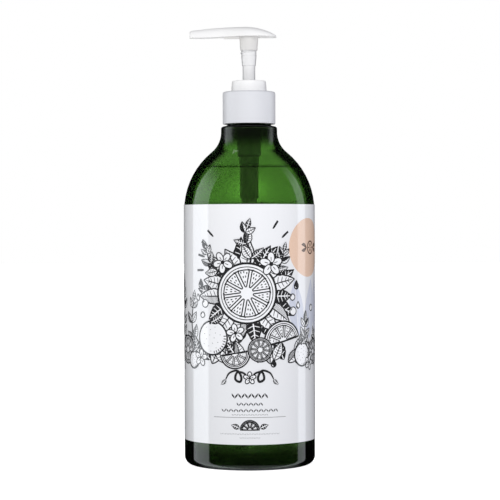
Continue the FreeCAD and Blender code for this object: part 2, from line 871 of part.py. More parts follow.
def head_block(body, prefix, inset, floor, front_corners):
    """A block with the head's side view, trimmed to the head's plan."""
    side = new_sketch(body, prefix + "_side")
    head_side(side, inset, floor)
    width = dim("saddle_half_width") * 2 + dim("head_wall")
    block = padded(body, prefix + "_block", side, width, midplane=True)
    plan = new_sketch(body, prefix + "_plan", "XY_Plane", head_base)
    outline(plan, head_plan(front_corners, inset))
    reach = dim("spout_reach") + dim("head_wall")
    outline(plan, [(-reach, -width), (reach, -width), (reach, width), (-reach, width)])
    pocketed(body, prefix + "_trim", plan, dim("skirt_height") * 2, midplane=True)
    return block


def make_head():
    """The pump head: a crowned saddle and spout, hollow underneath, with boss, duct and ball stop."""
    body = new_body("pump_head")
    spout_low = head_base - dim("spout_drop")
    tail_low = head_base - dim("tail_drop")
    floor = [
        (dim("tail_reach"), tail_low),
        (dim("tail_reach") - dim("tail_lip"), head_base),
        (-dim("spout_bend_back"), head_base),
        (-dim("spout_bend_front"), spout_low),
        (-dim("spout_reach"), spout_low),
    ]
    spout = [
        (-dim("spout_reach"), dim("spout_half_width"), dim("spout_edge")),
        (-dim("waist_reach"), dim("waist_half_width"), dim("waist_radius")),
    ]
    flush = Size(0, "0")
    head_block(body, "head", flush, floor, spout)
    round_top_edges(body)
    hollow_head(body)
    rib_half = dim("duct_radius") + dim("duct_wall")
    rib_plan = new_sketch(body, "duct_rib_plan", "XY_Plane", head_base)
    rib_reach = dim("hollow_front") + dim("head_wall")
    outline(rib_plan, [(-rib_reach, -rib_half), (0, -rib_half), (0, rib_half), (-rib_reach, rib_half)])
    roof = dim("crest_height") - dim("head_wall")
    padded(body, "duct_rib", rib_plan, roof)
    boss = [
        (0, head_low),
        (dim("skirt_low_radius"), head_low),
        (dim("skirt_high_radius"), head_base),
        (dim("skirt_high_radius"), head_base + roof),
        (0, head_base + roof),
    ]
    turned(body, "head_boss", boss)
    duct = new_sketch(body, "duct_outline", "YZ_Plane", -dim("pin_radius"))
    duct_level = head_base + dim("duct_level")
    round_hole(duct, 0, duct_level, dim("duct_radius"))
    pocketed(body, "duct", duct, dim("spout_reach"))
    socket = dim("plug_radius") + dim("head_fit")
    pin_low = outlet_level + dim("outlet_ball_radius") + dim("ball_lift") + dim("ball_gap")
    riser_top = duct_level + dim("duct_radius")
    bore = [
        (0, head_low),
        (socket, head_low),
        (socket, plug_top + dim("plug_gap")),
        (dim("riser_radius"), plug_top + dim("plug_gap")),
        (dim("riser_radius"), riser_top),
        (dim("pin_radius"), riser_top),
        (dim("pin_radius"), pin_low),
        (0, pin_low),
    ]
    turned(body, "stem_socket", bore, kind="PartDesign::Groove")
    return body


def round_top_edges(body):
    """Rounds the edges between the head's arched top and its sides."""
    block = body.Tip
    arched = [f for f in block.Shape.Faces if is_arched(f)]
    names = []
    for number, edge in enumerate(block.Shape.Edges, start=1):
        if sum(has_edge(face, edge) for face in arched) == 1:
            names.append("Edge%d" % number)
    fillet = body.newObject("PartDesign::Fillet", "head_edges")
    fillet.Base = (block, names)
    fillet.Radius = dim("head_edge").value
    fillet.setExpression("Radius", dim("head_edge").text)
    doc.recompute()


def is_arched(face):
    """Whether the face is part of a round surface that runs across the head."""
    return face.Surface.TypeId == "Part::GeomCylinder" and abs(face.Surface.Axis.y) > 0.5


def has_edge(face, edge):
    """Whether the edge bounds the face."""
    return any(own.isSame(edge) for own in face.Edges)


def hollow_head(body):
    """Cuts the hollow under the saddle, one wall in from the head's own outline."""
    wall = dim("head_wall")
    core = new_body("head_hollow_core")
    floor = [
        (dim("tail_reach"), head_low),
        (-dim("spout_reach"), head_low),
    ]
    front = [(-dim("hollow_front"), dim("waist_half_width") - wall, dim("head_edge"))]
    head_block(core, "hollow", wall, floor, front)
    cut = body.newObject("PartDesign::Boolean", "head_hollow")
    cut.setObjects([core])
    cut.Type = "Cut"
    doc.recompute()


inlet_level = rest_level(dim("inlet_ball_radius"), dim("seat_radius"), seat_level)
outlet_level = rest_level(dim("outlet_ball_radius"), dim("valve_seat_radius"), valve_foot)
nodes = [
    make_bottle(),
    make_closure(),
    make_label(),
    make_soap(),
    make_gasket(),
    make_housing(),
    make_collar(),
    make_dip_tube(),
    make_piston(),
    make_spring(),
    make_stem(),
    make_head(),
    make_ball("inlet_ball", dim("inlet_ball_radius"), inlet_level),
    make_ball("outlet_ball", dim("outlet_ball_radius"), outlet_level),
]

doc.recompute()
for item in doc.Objects:
    if "Invalid" in item.State or "Error" in item.State:
        raise RuntimeError("%s failed to build" % item.Label)
for node in nodes:
    if node.Shape.isNull() or not node.Shape.isValid():
        raise RuntimeError("%s has no valid shape" % node.Label)
os.makedirs("parts", exist_ok=True)
for node in nodes:
    node.Shape.exportStep(os.path.join("parts", node.Label + ".step"))
    print("%-16s %d solid, %9.1f mm3" % (node.Label, len(node.Shape.Solids), node.Shape.Volume))
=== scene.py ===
# The dish soap bottle in its studio: turned and moulded pieces, their finishes, the printed label, camera.
import functools
import logging
import math
import random
from collections.abc import Sequence
from dataclasses import dataclass, field
from enum import Enum

import bmesh
import bpy
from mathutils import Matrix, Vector


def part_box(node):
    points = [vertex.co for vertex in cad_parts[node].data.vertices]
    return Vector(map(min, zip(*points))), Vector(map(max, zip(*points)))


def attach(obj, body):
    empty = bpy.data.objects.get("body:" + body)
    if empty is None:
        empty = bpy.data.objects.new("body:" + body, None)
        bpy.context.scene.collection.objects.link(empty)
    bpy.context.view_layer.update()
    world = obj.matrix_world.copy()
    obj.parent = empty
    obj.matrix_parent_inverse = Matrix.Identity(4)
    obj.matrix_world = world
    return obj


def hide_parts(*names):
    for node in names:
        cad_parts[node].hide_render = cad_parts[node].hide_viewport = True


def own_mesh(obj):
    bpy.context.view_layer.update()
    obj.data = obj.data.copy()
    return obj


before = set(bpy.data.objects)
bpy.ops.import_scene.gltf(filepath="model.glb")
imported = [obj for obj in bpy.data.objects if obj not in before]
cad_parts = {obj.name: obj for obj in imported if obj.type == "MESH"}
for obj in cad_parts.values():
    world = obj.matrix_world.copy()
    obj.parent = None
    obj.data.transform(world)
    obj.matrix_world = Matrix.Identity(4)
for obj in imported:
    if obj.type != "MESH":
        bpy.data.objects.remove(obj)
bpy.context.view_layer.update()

MM = 0.001
SEGMENTS = 192
ARC_STEP = math.radians(6.0)
FULL_TURN = 2 * math.pi

Flat = tuple[float, float]
Colour = tuple[float, float, float]

log = logging.getLogger("soap_bottle")


# Shader maths


class Signal:
    """A shader value that takes part in Python expressions."""

    def __init__(self, graph: "Graph", socket: bpy.types.NodeSocket) -> None:
        """Wraps a socket of a graph."""
        self.graph = graph
        self.socket = socket

    def combined(self, operation: str, *values: object) -> "Signal":
        """Adds one Math node.

        Args:
            operation: the Math node's operation.
            values: what its sockets take in order, signals or numbers.

        Returns:
            The node's result.
        """
        node = self.graph.add("ShaderNodeMath", {"operation": operation}, dict(enumerate(values)))
        return Signal(self.graph, node.outputs[0])

    def __add__(self, other: object) -> "Signal":
        """Self plus other."""
        return self.combined("ADD", self, other)

    def __radd__(self, other: object) -> "Signal":
        """Other plus self."""
        return self.combined("ADD", other, self)

    def __sub__(self, other: object) -> "Signal":
        """Self minus other."""
        return self.combined("SUBTRACT", self, other)

    def __rsub__(self, other: object) -> "Signal":
        """Other minus self."""
        return self.combined("SUBTRACT", other, self)

    def __mul__(self, other: object) -> "Signal":
        """Self times other."""
        return self.combined("MULTIPLY", self, other)

    def __rmul__(self, other: object) -> "Signal":
        """Other times self."""
        return self.combined("MULTIPLY", other, self)

    def __truediv__(self, other: object) -> "Signal":
        """Self over other."""
        return self.combined("DIVIDE", self, other)

    def at_most(self, other: object) -> "Signal":
        """The smaller of self and other."""
        return self.combined("MINIMUM", self, other)

    def at_least(self, other: object) -> "Signal":
        """The larger of self and other."""
        return self.combined("MAXIMUM", self, other)

    def bell(self, middle: float, spread: float) -> "Signal":
        """A bell curve of self, 1 at the middle."""
        offset = (self - middle) / spread
        return self.combined("EXPONENT", offset * offset * -0.5)

    def rising(self, low: float, high: float) -> "Signal":
        """A smooth step from 0 at low to 1 at high, which may be the smaller number."""
        settings = {"interpolation_type": "SMOOTHSTEP"}
        sockets = {"Value": self, "From Min": low, "From Max": high}
        return Signal(self.graph, self.graph.add("ShaderNodeMapRange", settings, sockets).outputs[0])


class Graph:
    """The node tree of one material or of the world."""

    def __init__(self, owner: bpy.types.ID) -> None:
        """Empties the owner's node tree."""
        owner.use_nodes = True
        self.tree = owner.node_tree
        self.tree.nodes.clear()

    def add(self, kind: str, settings: dict[str, object], sockets: dict[object, object]) -> bpy.types.Node:
        """Adds one node.

        Args:
            kind: the node's type.
            settings: its own settings, set first.
            sockets: what its inputs take, by name or number: a signal, a node's output or a value.

        Returns:
            The node.
        """
        node = self.tree.nodes.new(kind)
        for name, value in settings.items():
            setattr(node, name, value)
        for name, value in sockets.items():
            socket = node.inputs[name]
            if isinstance(value, Signal):
                self.tree.links.new(value.socket, socket)
            elif isinstance(value, bpy.types.NodeSocket):
                self.tree.links.new(value, socket)
            elif isinstance(value, tuple) and len(value) == 3 and socket.type == "RGBA":
                socket.default_value = (*value, 1.0)
            else:
                socket.default_value = value
        return node

    def place(self) -> bpy.types.NodeSocket:
        """The point on the object, in metres."""
        return self.add("ShaderNodeTexCoord", {}, {}).outputs["Object"]

    def axis(self, vector: bpy.types.NodeSocket, name: str) -> Signal:
        """One part of a vector: X, Y or Z."""
        return Signal(self, self.add("ShaderNodeSeparateXYZ", {}, {0: vector}).outputs[name])

    def noise(
        self, scale: float, detail: float = 2.0, stretch: tuple[float, float, float] = (1, 1, 1)
    ) -> Signal:
        """Cloudy noise between 0 and 1.

        Args:
            scale: how many patches to the metre.
            detail: how many finer layers it has.
            stretch: how much finer it is along each axis.

        Returns:
            The noise.
        """
        mapping = self.add("ShaderNodeMapping", {}, {"Vector": self.place(), "Scale": stretch})
        sockets = {"Vector": mapping.outputs[0], "Scale": scale, "Detail": detail}
        return Signal(self, self.add("ShaderNodeTexNoise", {}, sockets).outputs["Fac"])

    def blend(self, factor: object, low: object, high: object) -> bpy.types.NodeSocket:
        """A colour between two colours, which are tuples or sockets."""
        node = self.add("ShaderNodeMix", {"data_type": "RGBA"}, {0: factor, 6: low, 7: high})
        return node.outputs[2]

    def bump(self, height: Signal, depth: float) -> bpy.types.NodeSocket:
        """A normal that follows a height between 0 and 1, which is depth metres deep."""
        return self.add("ShaderNodeBump", {}, {"Height": height, "Distance": depth}).outputs[0]

    def facing(self) -> Signal:
        """How far the surface turns away: 0 where it is seen straight on, 1 at its limb."""
        return Signal(self, self.add("ShaderNodeLayerWeight", {}, {"Blend": 0.5}).outputs["Facing"])

    def surface(self, sockets: dict[object, object]) -> None:
        """Ends the graph with a Principled surface."""
        shader = self.add("ShaderNodeBsdfPrincipled", {}, sockets)
        self.add("ShaderNodeOutputMaterial", {}, {"Surface": shader.outputs[0]})


# Finishes


@dataclass(frozen=True)
class Plastic:
    """A moulded plastic with faint clouding, a fine satin grain and, where asked for, painted shade at its
    limbs.
    """

    name: str
    colour: Colour
    shade: Colour
    roughness: float = 0.35
    cloud_scale: float = 60.0
    grain_scale: float = 2500.0
    grain_depth: float = 0.00002
    coat: float = 0.0
    limb: float = 0.0
    painted_limb_shade: Colour = (0.45, 0.45, 0.46)
    limb_from: float = 0.2
    limb_to: float = 0.85
    roughness_swing: float = 0.08

    def made(self) -> bpy.types.Material:
        """The material."""
        material = bpy.data.materials.new("look_" + self.name)
        graph = Graph(material)
        cloud = graph.noise(self.cloud_scale)
        grain = graph.noise(self.grain_scale, 1.0)
        # Painted shade: the colour darkens where the surface turns away from the view.
        limb = graph.facing().rising(self.limb_from, self.limb_to) * self.limb
        graph.surface({
            "Base Color": graph.blend(limb, graph.blend(cloud, self.shade, self.colour), self.painted_limb_shade),
            "Roughness": cloud * self.roughness_swing + (self.roughness - self.roughness_swing / 2),
            "Coat Weight": self.coat,
            "Coat Roughness": 0.1,
            "Normal": graph.bump(grain, self.grain_depth),
        })
        return material


@dataclass(frozen=True)
class GreenPet:
    """Clear green blown PET, darker at the base, by the neck and along its limbs: partly its thicker wall
    there, partly painted shade for the shadow at its base, the closure's shade over the neck and dark
    surroundings at its limbs.
    """

    name: str = "green_pet"
    tint: Colour = (0.215, 0.395, 0.13)
    # The tint where the wall is thicker and where shade is painted: base, neck and limbs.
    dark: Colour = (0.0008, 0.002, 0.0008)
    ior: float = 1.57
    base_from: float = 0.0195
    base_to: float = 0.008
    neck_from: float = 0.184
    neck_to: float = 0.192
    neck_haze: float = 0.25
    limb_from: float = 0.42
    limb_to: float = 0.56
    base_weight: float = 0.84
    neck_weight: float = 0.8
    waver_scale: float = 14.0
    waver_depth: float = 0.00003

    def made(self) -> bpy.types.Material:
        """The material."""
        material = bpy.data.materials.new("look_" + self.name)
        graph = Graph(material)
        level = graph.axis(graph.place(), "Z")
        # Painted shade, partly real: the tint darkens at the base for the thicker wall and the contact
        # shadow, by the neck for the thicker wall and the closure's shade, and at the limbs for the longer
        # path and the dark surroundings.
        base = level.rising(self.base_from, self.base_to)
        neck = level.rising(self.neck_from, self.neck_to)
        limb = graph.facing().rising(self.limb_from, self.limb_to)
        wall_and_painted_shade = (base * self.base_weight + neck * self.neck_weight + limb).at_most(1.0)
        waver = graph.noise(self.waver_scale, 1.0)
        graph.surface({
            "Base Color": graph.blend(wall_and_painted_shade, self.tint, self.dark),
            "Roughness": neck * self.neck_haze,
            "IOR": self.ior,
            "Transmission Weight": 1.0,
            "Normal": graph.bump(waver, self.waver_depth),
        })
        return material


@dataclass(frozen=True)
class Liquid:
    """Clear liquid soap, faintly straw coloured, with a painted shade line along the level of its surface.
    """

    name: str = "soap"
    tint: Colour = (0.97, 0.99, 0.9)
    deep: Colour = (0.93, 0.97, 0.84)
    line: Colour = (0.01, 0.02, 0.01)
    line_level: float = 0.1738
    line_lean: float = 0.03
    line_width: float = 0.0004
    cloud_scale: float = 30.0
    ior: float = 1.36

    def made(self) -> bpy.types.Material:
        """The material."""
        material = bpy.data.materials.new("look_" + self.name)
        graph = Graph(material)
        place = graph.place()
        level, depth = graph.axis(place, "Z"), graph.axis(place, "Y")
        # Painted shade: a dark line along the soap's surface level.
        tide = depth.at_most(0.0) * self.line_lean + self.line_level
        line = (level - tide).bell(0.0, self.line_width)
        body = graph.blend(graph.noise(self.cloud_scale), self.deep, self.tint)
        graph.surface({
            "Base Color": graph.blend(line, body, self.line),
            "Roughness": 0.0,
            "IOR": self.ior,
            "Transmission Weight": 1.0,
        })
        return material


@dataclass(frozen=True)
class Film:
    """The label's smooth film under a satin coat, with painted shade that greys it towards its foot and a
    painted glow on its inner side.
    """

    name: str = "label_film"
    painted_lit_white: Colour = (0.875, 0.885, 0.91)
    painted_shaded_white: Colour = (0.765, 0.775, 0.8)
    low: float = 0.02
    high: float = 0.165
    roughness: float = 0.5
    coat: float = 0.9
    coat_roughness: float = 0.06
    coat_ior: float = 1.9
    specular: float = 0.3
    cloud_scale: float = 25.0
    cloud_share: float = 0.1
    fibre_scale: float = 900.0
    fibre_depth: float = 0.00001
    middle: float = 0.03823
    middle_edge: float = 0.0000001
    painted_back_glow: float = 0.8

    def made(self) -> bpy.types.Material:
        """The material."""
        material = bpy.data.materials.new("look_" + self.name)
        graph = Graph(material)
        cloud = graph.noise(self.cloud_scale, 3.0)
        fibre = graph.noise(self.fibre_scale, 3.0, (1.0, 1.0, 2.0))
        place = graph.place()
        x, y, z = (graph.axis(place, name) for name in "XYZ")
        # Painted shade: the film's white greys from its top to its foot.
        height = (z - self.low) / (self.high - self.low) + cloud * self.cloud_share
        square = self.middle**2
        # Painted glow on the film's inner side, standing in for light that would come through the film.
        back = (x * x + y * y).rising(square + self.middle_edge, square - self.middle_edge)
        graph.surface({
            "Base Color": graph.blend(height, self.painted_shaded_white, self.painted_lit_white),
            "Emission Color": graph.blend(back, (0.0, 0.0, 0.0), self.painted_lit_white),
            "Emission Strength": self.painted_back_glow,
            "Roughness": fibre * 0.1 + self.roughness,
            "Coat Weight": self.coat,
            "Coat Roughness": self.coat_roughness,
            "Coat IOR": self.coat_ior,
            "Specular IOR Level": self.specular,
            "Normal": graph.bump(fibre, self.fibre_depth),
        })
        return material


@dataclass(frozen=True)
class Print:
    """Ink on the label, a little uneven, under the label's satin coat."""

    name: str
    colour: Colour
    thin: Colour
    cover_scale: float = 1400.0

    def made(self) -> bpy.types.Material:
        """The material."""
        material = bpy.data.materials.new("look_" + self.name)
        graph = Graph(material)
        cover = graph.noise(self.cover_scale, 2.0)
        graph.surface({
            "Base Color": graph.blend(cover.rising(0.35, 0.6), self.thin, self.colour),
            "Roughness": cover * 0.1 + 0.5,
            "Coat Weight": Film.coat,
            "Coat Roughness": Film.coat_roughness,
            "Coat IOR": Film.coat_ior,
            "Specular IOR Level": Film.specular,
        })
        return material


@dataclass(frozen=True)
class Metal:
    """Drawn wire or polished steel."""

    name: str
    colour: Colour = (0.62, 0.62, 0.64)
    roughness: float = 0.25
    mark: Colour = (0.5, 0.5, 0.52)
    mark_scale: float = 1800.0

    def made(self) -> bpy.types.Material:
        """The material."""
        material = bpy.data.materials.new("look_" + self.name)
        graph = Graph(material)
        marks = graph.noise(self.mark_scale, 2.0)
        graph.surface({
            "Base Color": graph.blend(marks, self.mark, self.colour),
            "Metallic": 1.0,
            "Roughness": marks * 0.15 + self.roughness,
        })
        return material


@dataclass(frozen=True)
class Glass:
    """The clear glass of the outlet ball."""

    name: str = "ball_glass"
    tint: Colour = (0.97, 1.0, 0.99)
    deep: Colour = (0.9, 0.97, 0.95)
    cloud_scale: float = 900.0

    def made(self) -> bpy.types.Material:
        """The material."""
        material = bpy.data.materials.new("look_" + self.name)
        graph = Graph(material)
        graph.surface({
            "Base Color": graph.blend(graph.noise(self.cloud_scale), self.deep, self.tint),
            "Roughness": 0.02,
            "Transmission Weight": 1.0,
            "IOR": 1.5,
        })
        return material


class Finish(Enum):
    """Every finish of the object, by its maker's name."""

    PET = GreenPet()
    SOAP = Liquid()
    FILM = Film()
    CLOSURE_WHITE = Plastic("closure_white", (0.71, 0.72, 0.75), (0.69, 0.7, 0.735), 0.38)
    COLLAR_WHITE = Plastic("collar_white", (0.97, 0.97, 0.965), (0.95, 0.95, 0.95), 0.36)
    HEAD_WHITE = Plastic("head_white", (0.86, 0.86, 0.855), (0.84, 0.84, 0.835), 0.36)
    # The head's white with painted shade, for the skirt and duct under the head.
    SKIRT_WHITE = Plastic("skirt_white", (0.70, 0.69, 0.675), (0.66, 0.65, 0.64), 0.4)
    # The natural plastic gets painted shade at its limbs.
    NATURAL = Plastic("natural_plastic", (0.82, 0.82, 0.82), (0.79, 0.79, 0.795), 0.3, coat=0.2, limb=1.0)
    HOUSING = Plastic("housing_plastic", (0.42, 0.5, 0.4), (0.38, 0.46, 0.36), 0.4)
    TUBE = Plastic("tube_plastic", (0.5, 0.55, 0.45), (0.45, 0.5, 0.41), 0.35)
    PISTON = Plastic("piston_plastic", (0.85, 0.85, 0.83), (0.8, 0.8, 0.78), 0.5)
    FOAM = Plastic("foam", (0.93, 0.93, 0.92), (0.85, 0.85, 0.84), 0.9, 700.0, 3500.0, 0.00015)
    WIRE = Metal("spring_wire", roughness=0.3)
    STEEL = Metal("ball_steel", (0.72, 0.72, 0.74), 0.12)
    BALL_GLASS = Glass()
    BLACK_INK = Print("black_ink", (0.012, 0.012, 0.014), (0.03, 0.03, 0.032))
    GREY_INK = Print("grey_ink", (0.2, 0.2, 0.21), (0.28, 0.28, 0.29))
    PEACH_INK = Print("peach_ink", (0.82, 0.58, 0.44), (0.84, 0.61, 0.48))
    BROWN_INK = Print("brown_ink", (0.1, 0.05, 0.03), (0.14, 0.075, 0.05))
    MIST_INK = Print("mist_ink", (0.62, 0.65, 0.76), (0.66, 0.69, 0.79))
    WHITE_INK = Print("white_ink", (0.885, 0.895, 0.92), (0.87, 0.88, 0.905))

    @functools.cache
    def material(self) -> bpy.types.Material:
        """The finish's one material, made when it is first asked for."""
        return self.value.made()


# Shapes in millimetres


def sized(node: str) -> tuple[Vector, Vector]:
    """The lowest and highest corner of a CAD node, in millimetres."""
    low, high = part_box(node)
    return Vector(low) / MM, Vector(high) / MM


def rounded(corners: Sequence[tuple[float, ...]]) -> list[Flat]:
    """A closed outline through corners, with their roundings as short steps.

    Args:
        corners: each (x, y), or (x, y, radius) where it is rounded.

    Returns:
        The outline's points in order.
    """
    points: list[Flat] = []
    for i, corner in enumerate(corners):
        point = Vector(corner[:2])
        if len(corner) == 2:
            points.append(tuple(point))
            continue
        back = (Vector(corners[i - 1][:2]) - point).normalized()
        ahead = (Vector(corners[(i + 1) % len(corners)][:2]) - point).normalized()
        half = back.angle(ahead) / 2
        reach = corner[2] / math.tan(half)
        centre = point + (back + ahead).normalized() * (corner[2] / math.sin(half))
        first = point + back * reach - centre
        last = point + ahead * reach - centre
        start = math.atan2(first.y, first.x)
        sweep = math.remainder(math.atan2(last.y, last.x) - start, FULL_TURN)
        steps = max(3, math.ceil(abs(sweep) / ARC_STEP))
        for k in range(steps + 1):
            angle = start + sweep * k / steps
            x, y = corner[2] * math.cos(angle), corner[2] * math.sin(angle)
            points.append((centre.x + x, centre.y + y))
    return points


class Moulding:
    """Collects a mesh in millimetres and makes it a piece in metres."""

    def __init__(self) -> None:
        """Starts empty."""
        self.points: list[Vector] = []
        self.faces: list[tuple[int, ...]] = []

    def grid(self, rows: Sequence[Sequence[Vector]], wrap: bool = False, close: bool = False) -> None:
        """Adds a grid of faces.

        Args:
            rows: rows of as many points each.
            wrap: whether each row's end joins its start.
            close: whether the last row joins the first.
        """
        start, width = len(self.points), len(rows[0])
        for row in rows:
            self.points.extend(row)
        for i in range(len(rows) if close else len(rows) - 1):
            low, high = start + i * width, start + (i + 1) % len(rows) * width
            for k in range(width if wrap else width - 1):
                n = (k + 1) % width
                self.faces.append((low + k, low + n, high + n, high + k))

    def turned(self, outline: Sequence[Flat], segments: int = SEGMENTS) -> "Moulding":
        """Adds a closed outline of radius and level turned about Z, and returns self."""
        rows = []
        for k in range(segments):
            angle = FULL_TURN * k / segments
            rows.append([Vector((r * math.cos(angle), r * math.sin(angle), z)) for r, z in outline])
        self.grid(rows, wrap=True, close=True)
        return self

    def ridge(
        self, tooth: tuple[float, float, float, float], level: float, pitch: float, turns: float
    ) -> "Moulding":
        """Adds a right-hand thread whose ends fade out.

        Args:
            tooth: wall radius, crest radius, root width and crest width.
            level: the ridge's level where it starts, over +X.
            pitch: its climb in a turn.
            turns: its turns.

        Returns:
            Self.
        """
        wall, crest, root_width, crest_width = tooth
        steps = round(turns * 96)
        rows = []
        for k in range(steps + 1):
            angle = FULL_TURN * turns * k / steps
            fade = min(1.0, 10.0 * min(k, steps - k) / steps)
            middle = level + pitch * turns * k / steps
            top = wall + (crest - wall) * math.sin(fade * math.pi / 2)
            section = [
                (wall, -root_width / 2),
                (top, -crest_width / 2),
                (top, crest_width / 2),
                (wall, root_width / 2),
            ]
            c, s = math.cos(angle), math.sin(angle)
            rows.append([Vector((r * c, r * s, middle + z)) for r, z in section])
        self.grid(rows, wrap=True)
        for row in (0, steps):
            start = len(self.points) - (steps + 1 - row) * 4
            self.faces.append((start, start + 1, start + 2, start + 3))
        return self

    def piece(self, name: str, sharp: float = 40.0) -> bpy.types.Object:
        """Makes the object: one closed skin with outward normals.

        Args:
            name: the piece's name.
            sharp: the angle in degrees from which an edge stays sharp.

        Returns:
            The object, in the scene.
        """
        mesh = bpy.data.meshes.new(name)
        mesh.from_pydata([point * MM for point in self.points], [], self.faces)
        work = bmesh.new()
        work.from_mesh(mesh)
        bmesh.ops.remove_doubles(work, verts=work.verts, dist=1e-7)
        bmesh.ops.recalc_face_normals(work, faces=work.faces)
        work.to_mesh(mesh)
        work.free()
        mesh.polygons.foreach_set("use_smooth", [True] * len(mesh.polygons))
        mesh.set_sharp_from_angle(angle=math.radians(sharp))
        thing = bpy.data.objects.new(name, mesh)
        bpy.context.scene.collection.objects.link(thing)
        return thing


def fitted(piece: bpy.types.Object, finish: Finish, body: str, slot: str, *nodes: str) -> None:
    """Gives a piece its finish and its body, and hides the CAD nodes that it stands for."""
    piece.data.materials.append(finish.material())
    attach(piece, body)
    if nodes:
        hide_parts(*nodes)
    log.info("%s: %d faces on %s", piece.name, len(piece.data.polygons), body)


# The bottle, its soap and its label


@dataclass
class Vessel:
    """The blown bottle and the soap in it. Sizes in millimetres, angles in degrees."""

    radius: float = sized("bottle")[1].x
    top: float = sized("bottle")[1].z
    wall: float = 0.8
    heel_radius: float = 5.0
    ring_width: float = 3.0
    ring_edge: float = 2.0
    dome_rise: float = 5.0
    dome_flat: float = 14.0
    dome_radius: float = 20.0
    floor: float = 1.2
    shoulder_radius: float = 44.0
    shoulder_angle: float = 50.3
    throat_radius: float = 15.2
    foot_radius: float = 16.4
    foot_height: float = 2.9
    foot_step: float = 0.9
    foot_edge: float = 1.4
    foot_fillet: float = 0.6
    neck_radius: float = 12.75
    neck_bore: float = 10.75
    neck_height: float = 16.15
    neck_edge: float = 0.5
    pitch: float = 4.23
    turns: float = 1.5
    thread_depth: float = 1.0
    thread_root: float = 2.3
    thread_crest: float = 1.1
    soap_level: float = sized("liquid_soap")[1].z - 0.6
    soap_overlap: float = 0.3
    meniscus: float = 0.6

    def __post_init__(self) -> None:
        """Works out the levels that the outlines share."""
        bend = math.tan(math.radians(self.shoulder_angle / 2))
        fall = (self.radius - self.foot_radius) / math.tan(math.radians(self.shoulder_angle))
        self.bend = bend
        self.neck_root = self.top - self.neck_height
        self.foot_top = self.neck_root - self.foot_step
        self.throat_corner = self.foot_top - self.foot_height - self.throat_radius * bend
        self.shoulder_corner = self.throat_corner - fall
        self.ring_inner = self.radius - self.heel_radius - self.ring_width

    def outside(self) -> list[tuple[float, ...]]:
        """The corners of the outside, from the rim down to the middle of the base."""
        return [
            (self.neck_bore, self.top),
            (self.neck_radius, self.top, self.neck_edge),
            (self.neck_radius, self.neck_root, self.foot_fillet),
            (self.foot_radius, self.foot_top, self.foot_edge),
            (self.foot_radius, self.throat_corner, self.throat_radius),
            (self.radius, self.shoulder_corner, self.shoulder_radius),
            (self.radius, 0.0, self.heel_radius),
            (self.ring_inner, 0.0, self.ring_edge),
            (self.dome_flat, self.dome_rise, self.dome_radius),
            (0.0, self.dome_rise),
        ]

    def inside(self, gap: float) -> list[tuple[float, ...]]:
        """The corners of a surface drawn in from the outside by a gap, from the floor to the neck."""
        rise = self.floor + gap - self.wall
        shift = gap * self.bend
        wall, foot = self.radius - gap, self.foot_radius - gap
        return [
            (0.0, self.dome_rise + rise),
            (self.dome_flat, self.dome_rise + rise, self.dome_radius),
            (self.ring_inner, rise, self.ring_edge),
            (wall, rise, self.heel_radius - gap),
            (wall, self.shoulder_corner - shift, self.shoulder_radius - gap),
            (foot, self.throat_corner - shift, self.throat_radius + gap),
            (foot, self.foot_top - gap, self.foot_fillet + gap),
            (self.neck_bore - gap + self.wall, self.neck_root - gap, self.neck_edge),
        ]

    def make_bottle(self) -> None:
        """The bottle's wall with the thread of its neck."""
        shape = Moulding().turned(rounded(self.outside() + self.inside(self.wall)))
        reach = 1.9 + self.thread_root / 2 + self.pitch * self.turns
        crest = self.neck_radius + self.thread_depth
        tooth = (self.neck_radius - 0.05, crest, self.thread_root, self.thread_crest)
        shape.ridge(tooth, self.top - reach, self.pitch, self.turns)
        fitted(shape.piece("bottle_wall"), Finish.PET, "bottle", "green_bottle", "bottle")

    def make_soap(self) -> None:
        """The soap: it wets the wall, and its surface climbs a little at the wall and at the pump."""
        gap = self.wall - self.soap_overlap
        rim = self.soap_level + self.meniscus
        wet = rounded(self.inside(gap) + [(0.0, self.top)])
        last = max(i for i, point in enumerate(wet) if point[1] < rim and point[0] > self.foot_radius)
        (low_radius, low), (high_radius, high) = wet[last : last + 2]
        rim_radius = low_radius + (high_radius - low_radius) * (rim - low) / (high - low)
        below = wet[: last + 1]
        stalk = 4.6
        surface = []
        steps = 28
        for k in range(steps + 1):
            share = k / steps
            radius = rim_radius + (stalk - rim_radius) * (1 - math.cos(math.pi * share)) / 2
            wall_gap, pump_gap = rim_radius - self.soap_overlap - radius, radius - stalk
            climb = math.exp(-max(0.0, wall_gap) / 0.9) + 0.45 * math.exp(-pump_gap / 0.6)
            surface.append((radius, self.soap_level + self.meniscus * climb))
        outline = below + surface + [(0.0, self.soap_level + self.meniscus * 0.45)]
        fitted(Moulding().turned(outline).piece("soap_fill"), Finish.SOAP, "bottle", "soap", "liquid_soap")


class Ink(Enum):
    """The inks of the label's print."""

    BLACK = Finish.BLACK_INK
    GREY = Finish.GREY_INK
    PEACH = Finish.PEACH_INK
    BROWN = Finish.BROWN_INK
    MIST = Finish.MIST_INK
    WHITE = Finish.WHITE_INK


class LeafStyle(Enum):
    """How a leaf is drawn."""

    OUTLINE = 1
    SOLID = 2
    HATCHED = 3


def heading(angle: float) -> Vector:
    """The direction at an angle in degrees, counted from the right."""
    return Vector((math.cos(math.radians(angle)), math.sin(math.radians(angle))))


def smooth(points: Sequence[Sequence[float]], steps: int = 10) -> list[Vector]:
    """A soft curve through points, given as points in steps between each two."""
    knots = [Vector(p) for p in points]
    knots = [knots[0] * 2 - knots[1]] + knots + [knots[-1] * 2 - knots[-2]]
    curve = []
    for a, b, c, d in zip(knots, knots[1:], knots[2:], knots[3:]):
        for k in range(steps):
            t = k / steps
            square = (a * 2 - b * 5 + c * 4 - d) * t * t
            cube = (b * 3 - a - c * 3 + d) * t**3
            curve.append(0.5 * (b * 2 + (c - a) * t + square + cube))
    return curve + [knots[-2]]


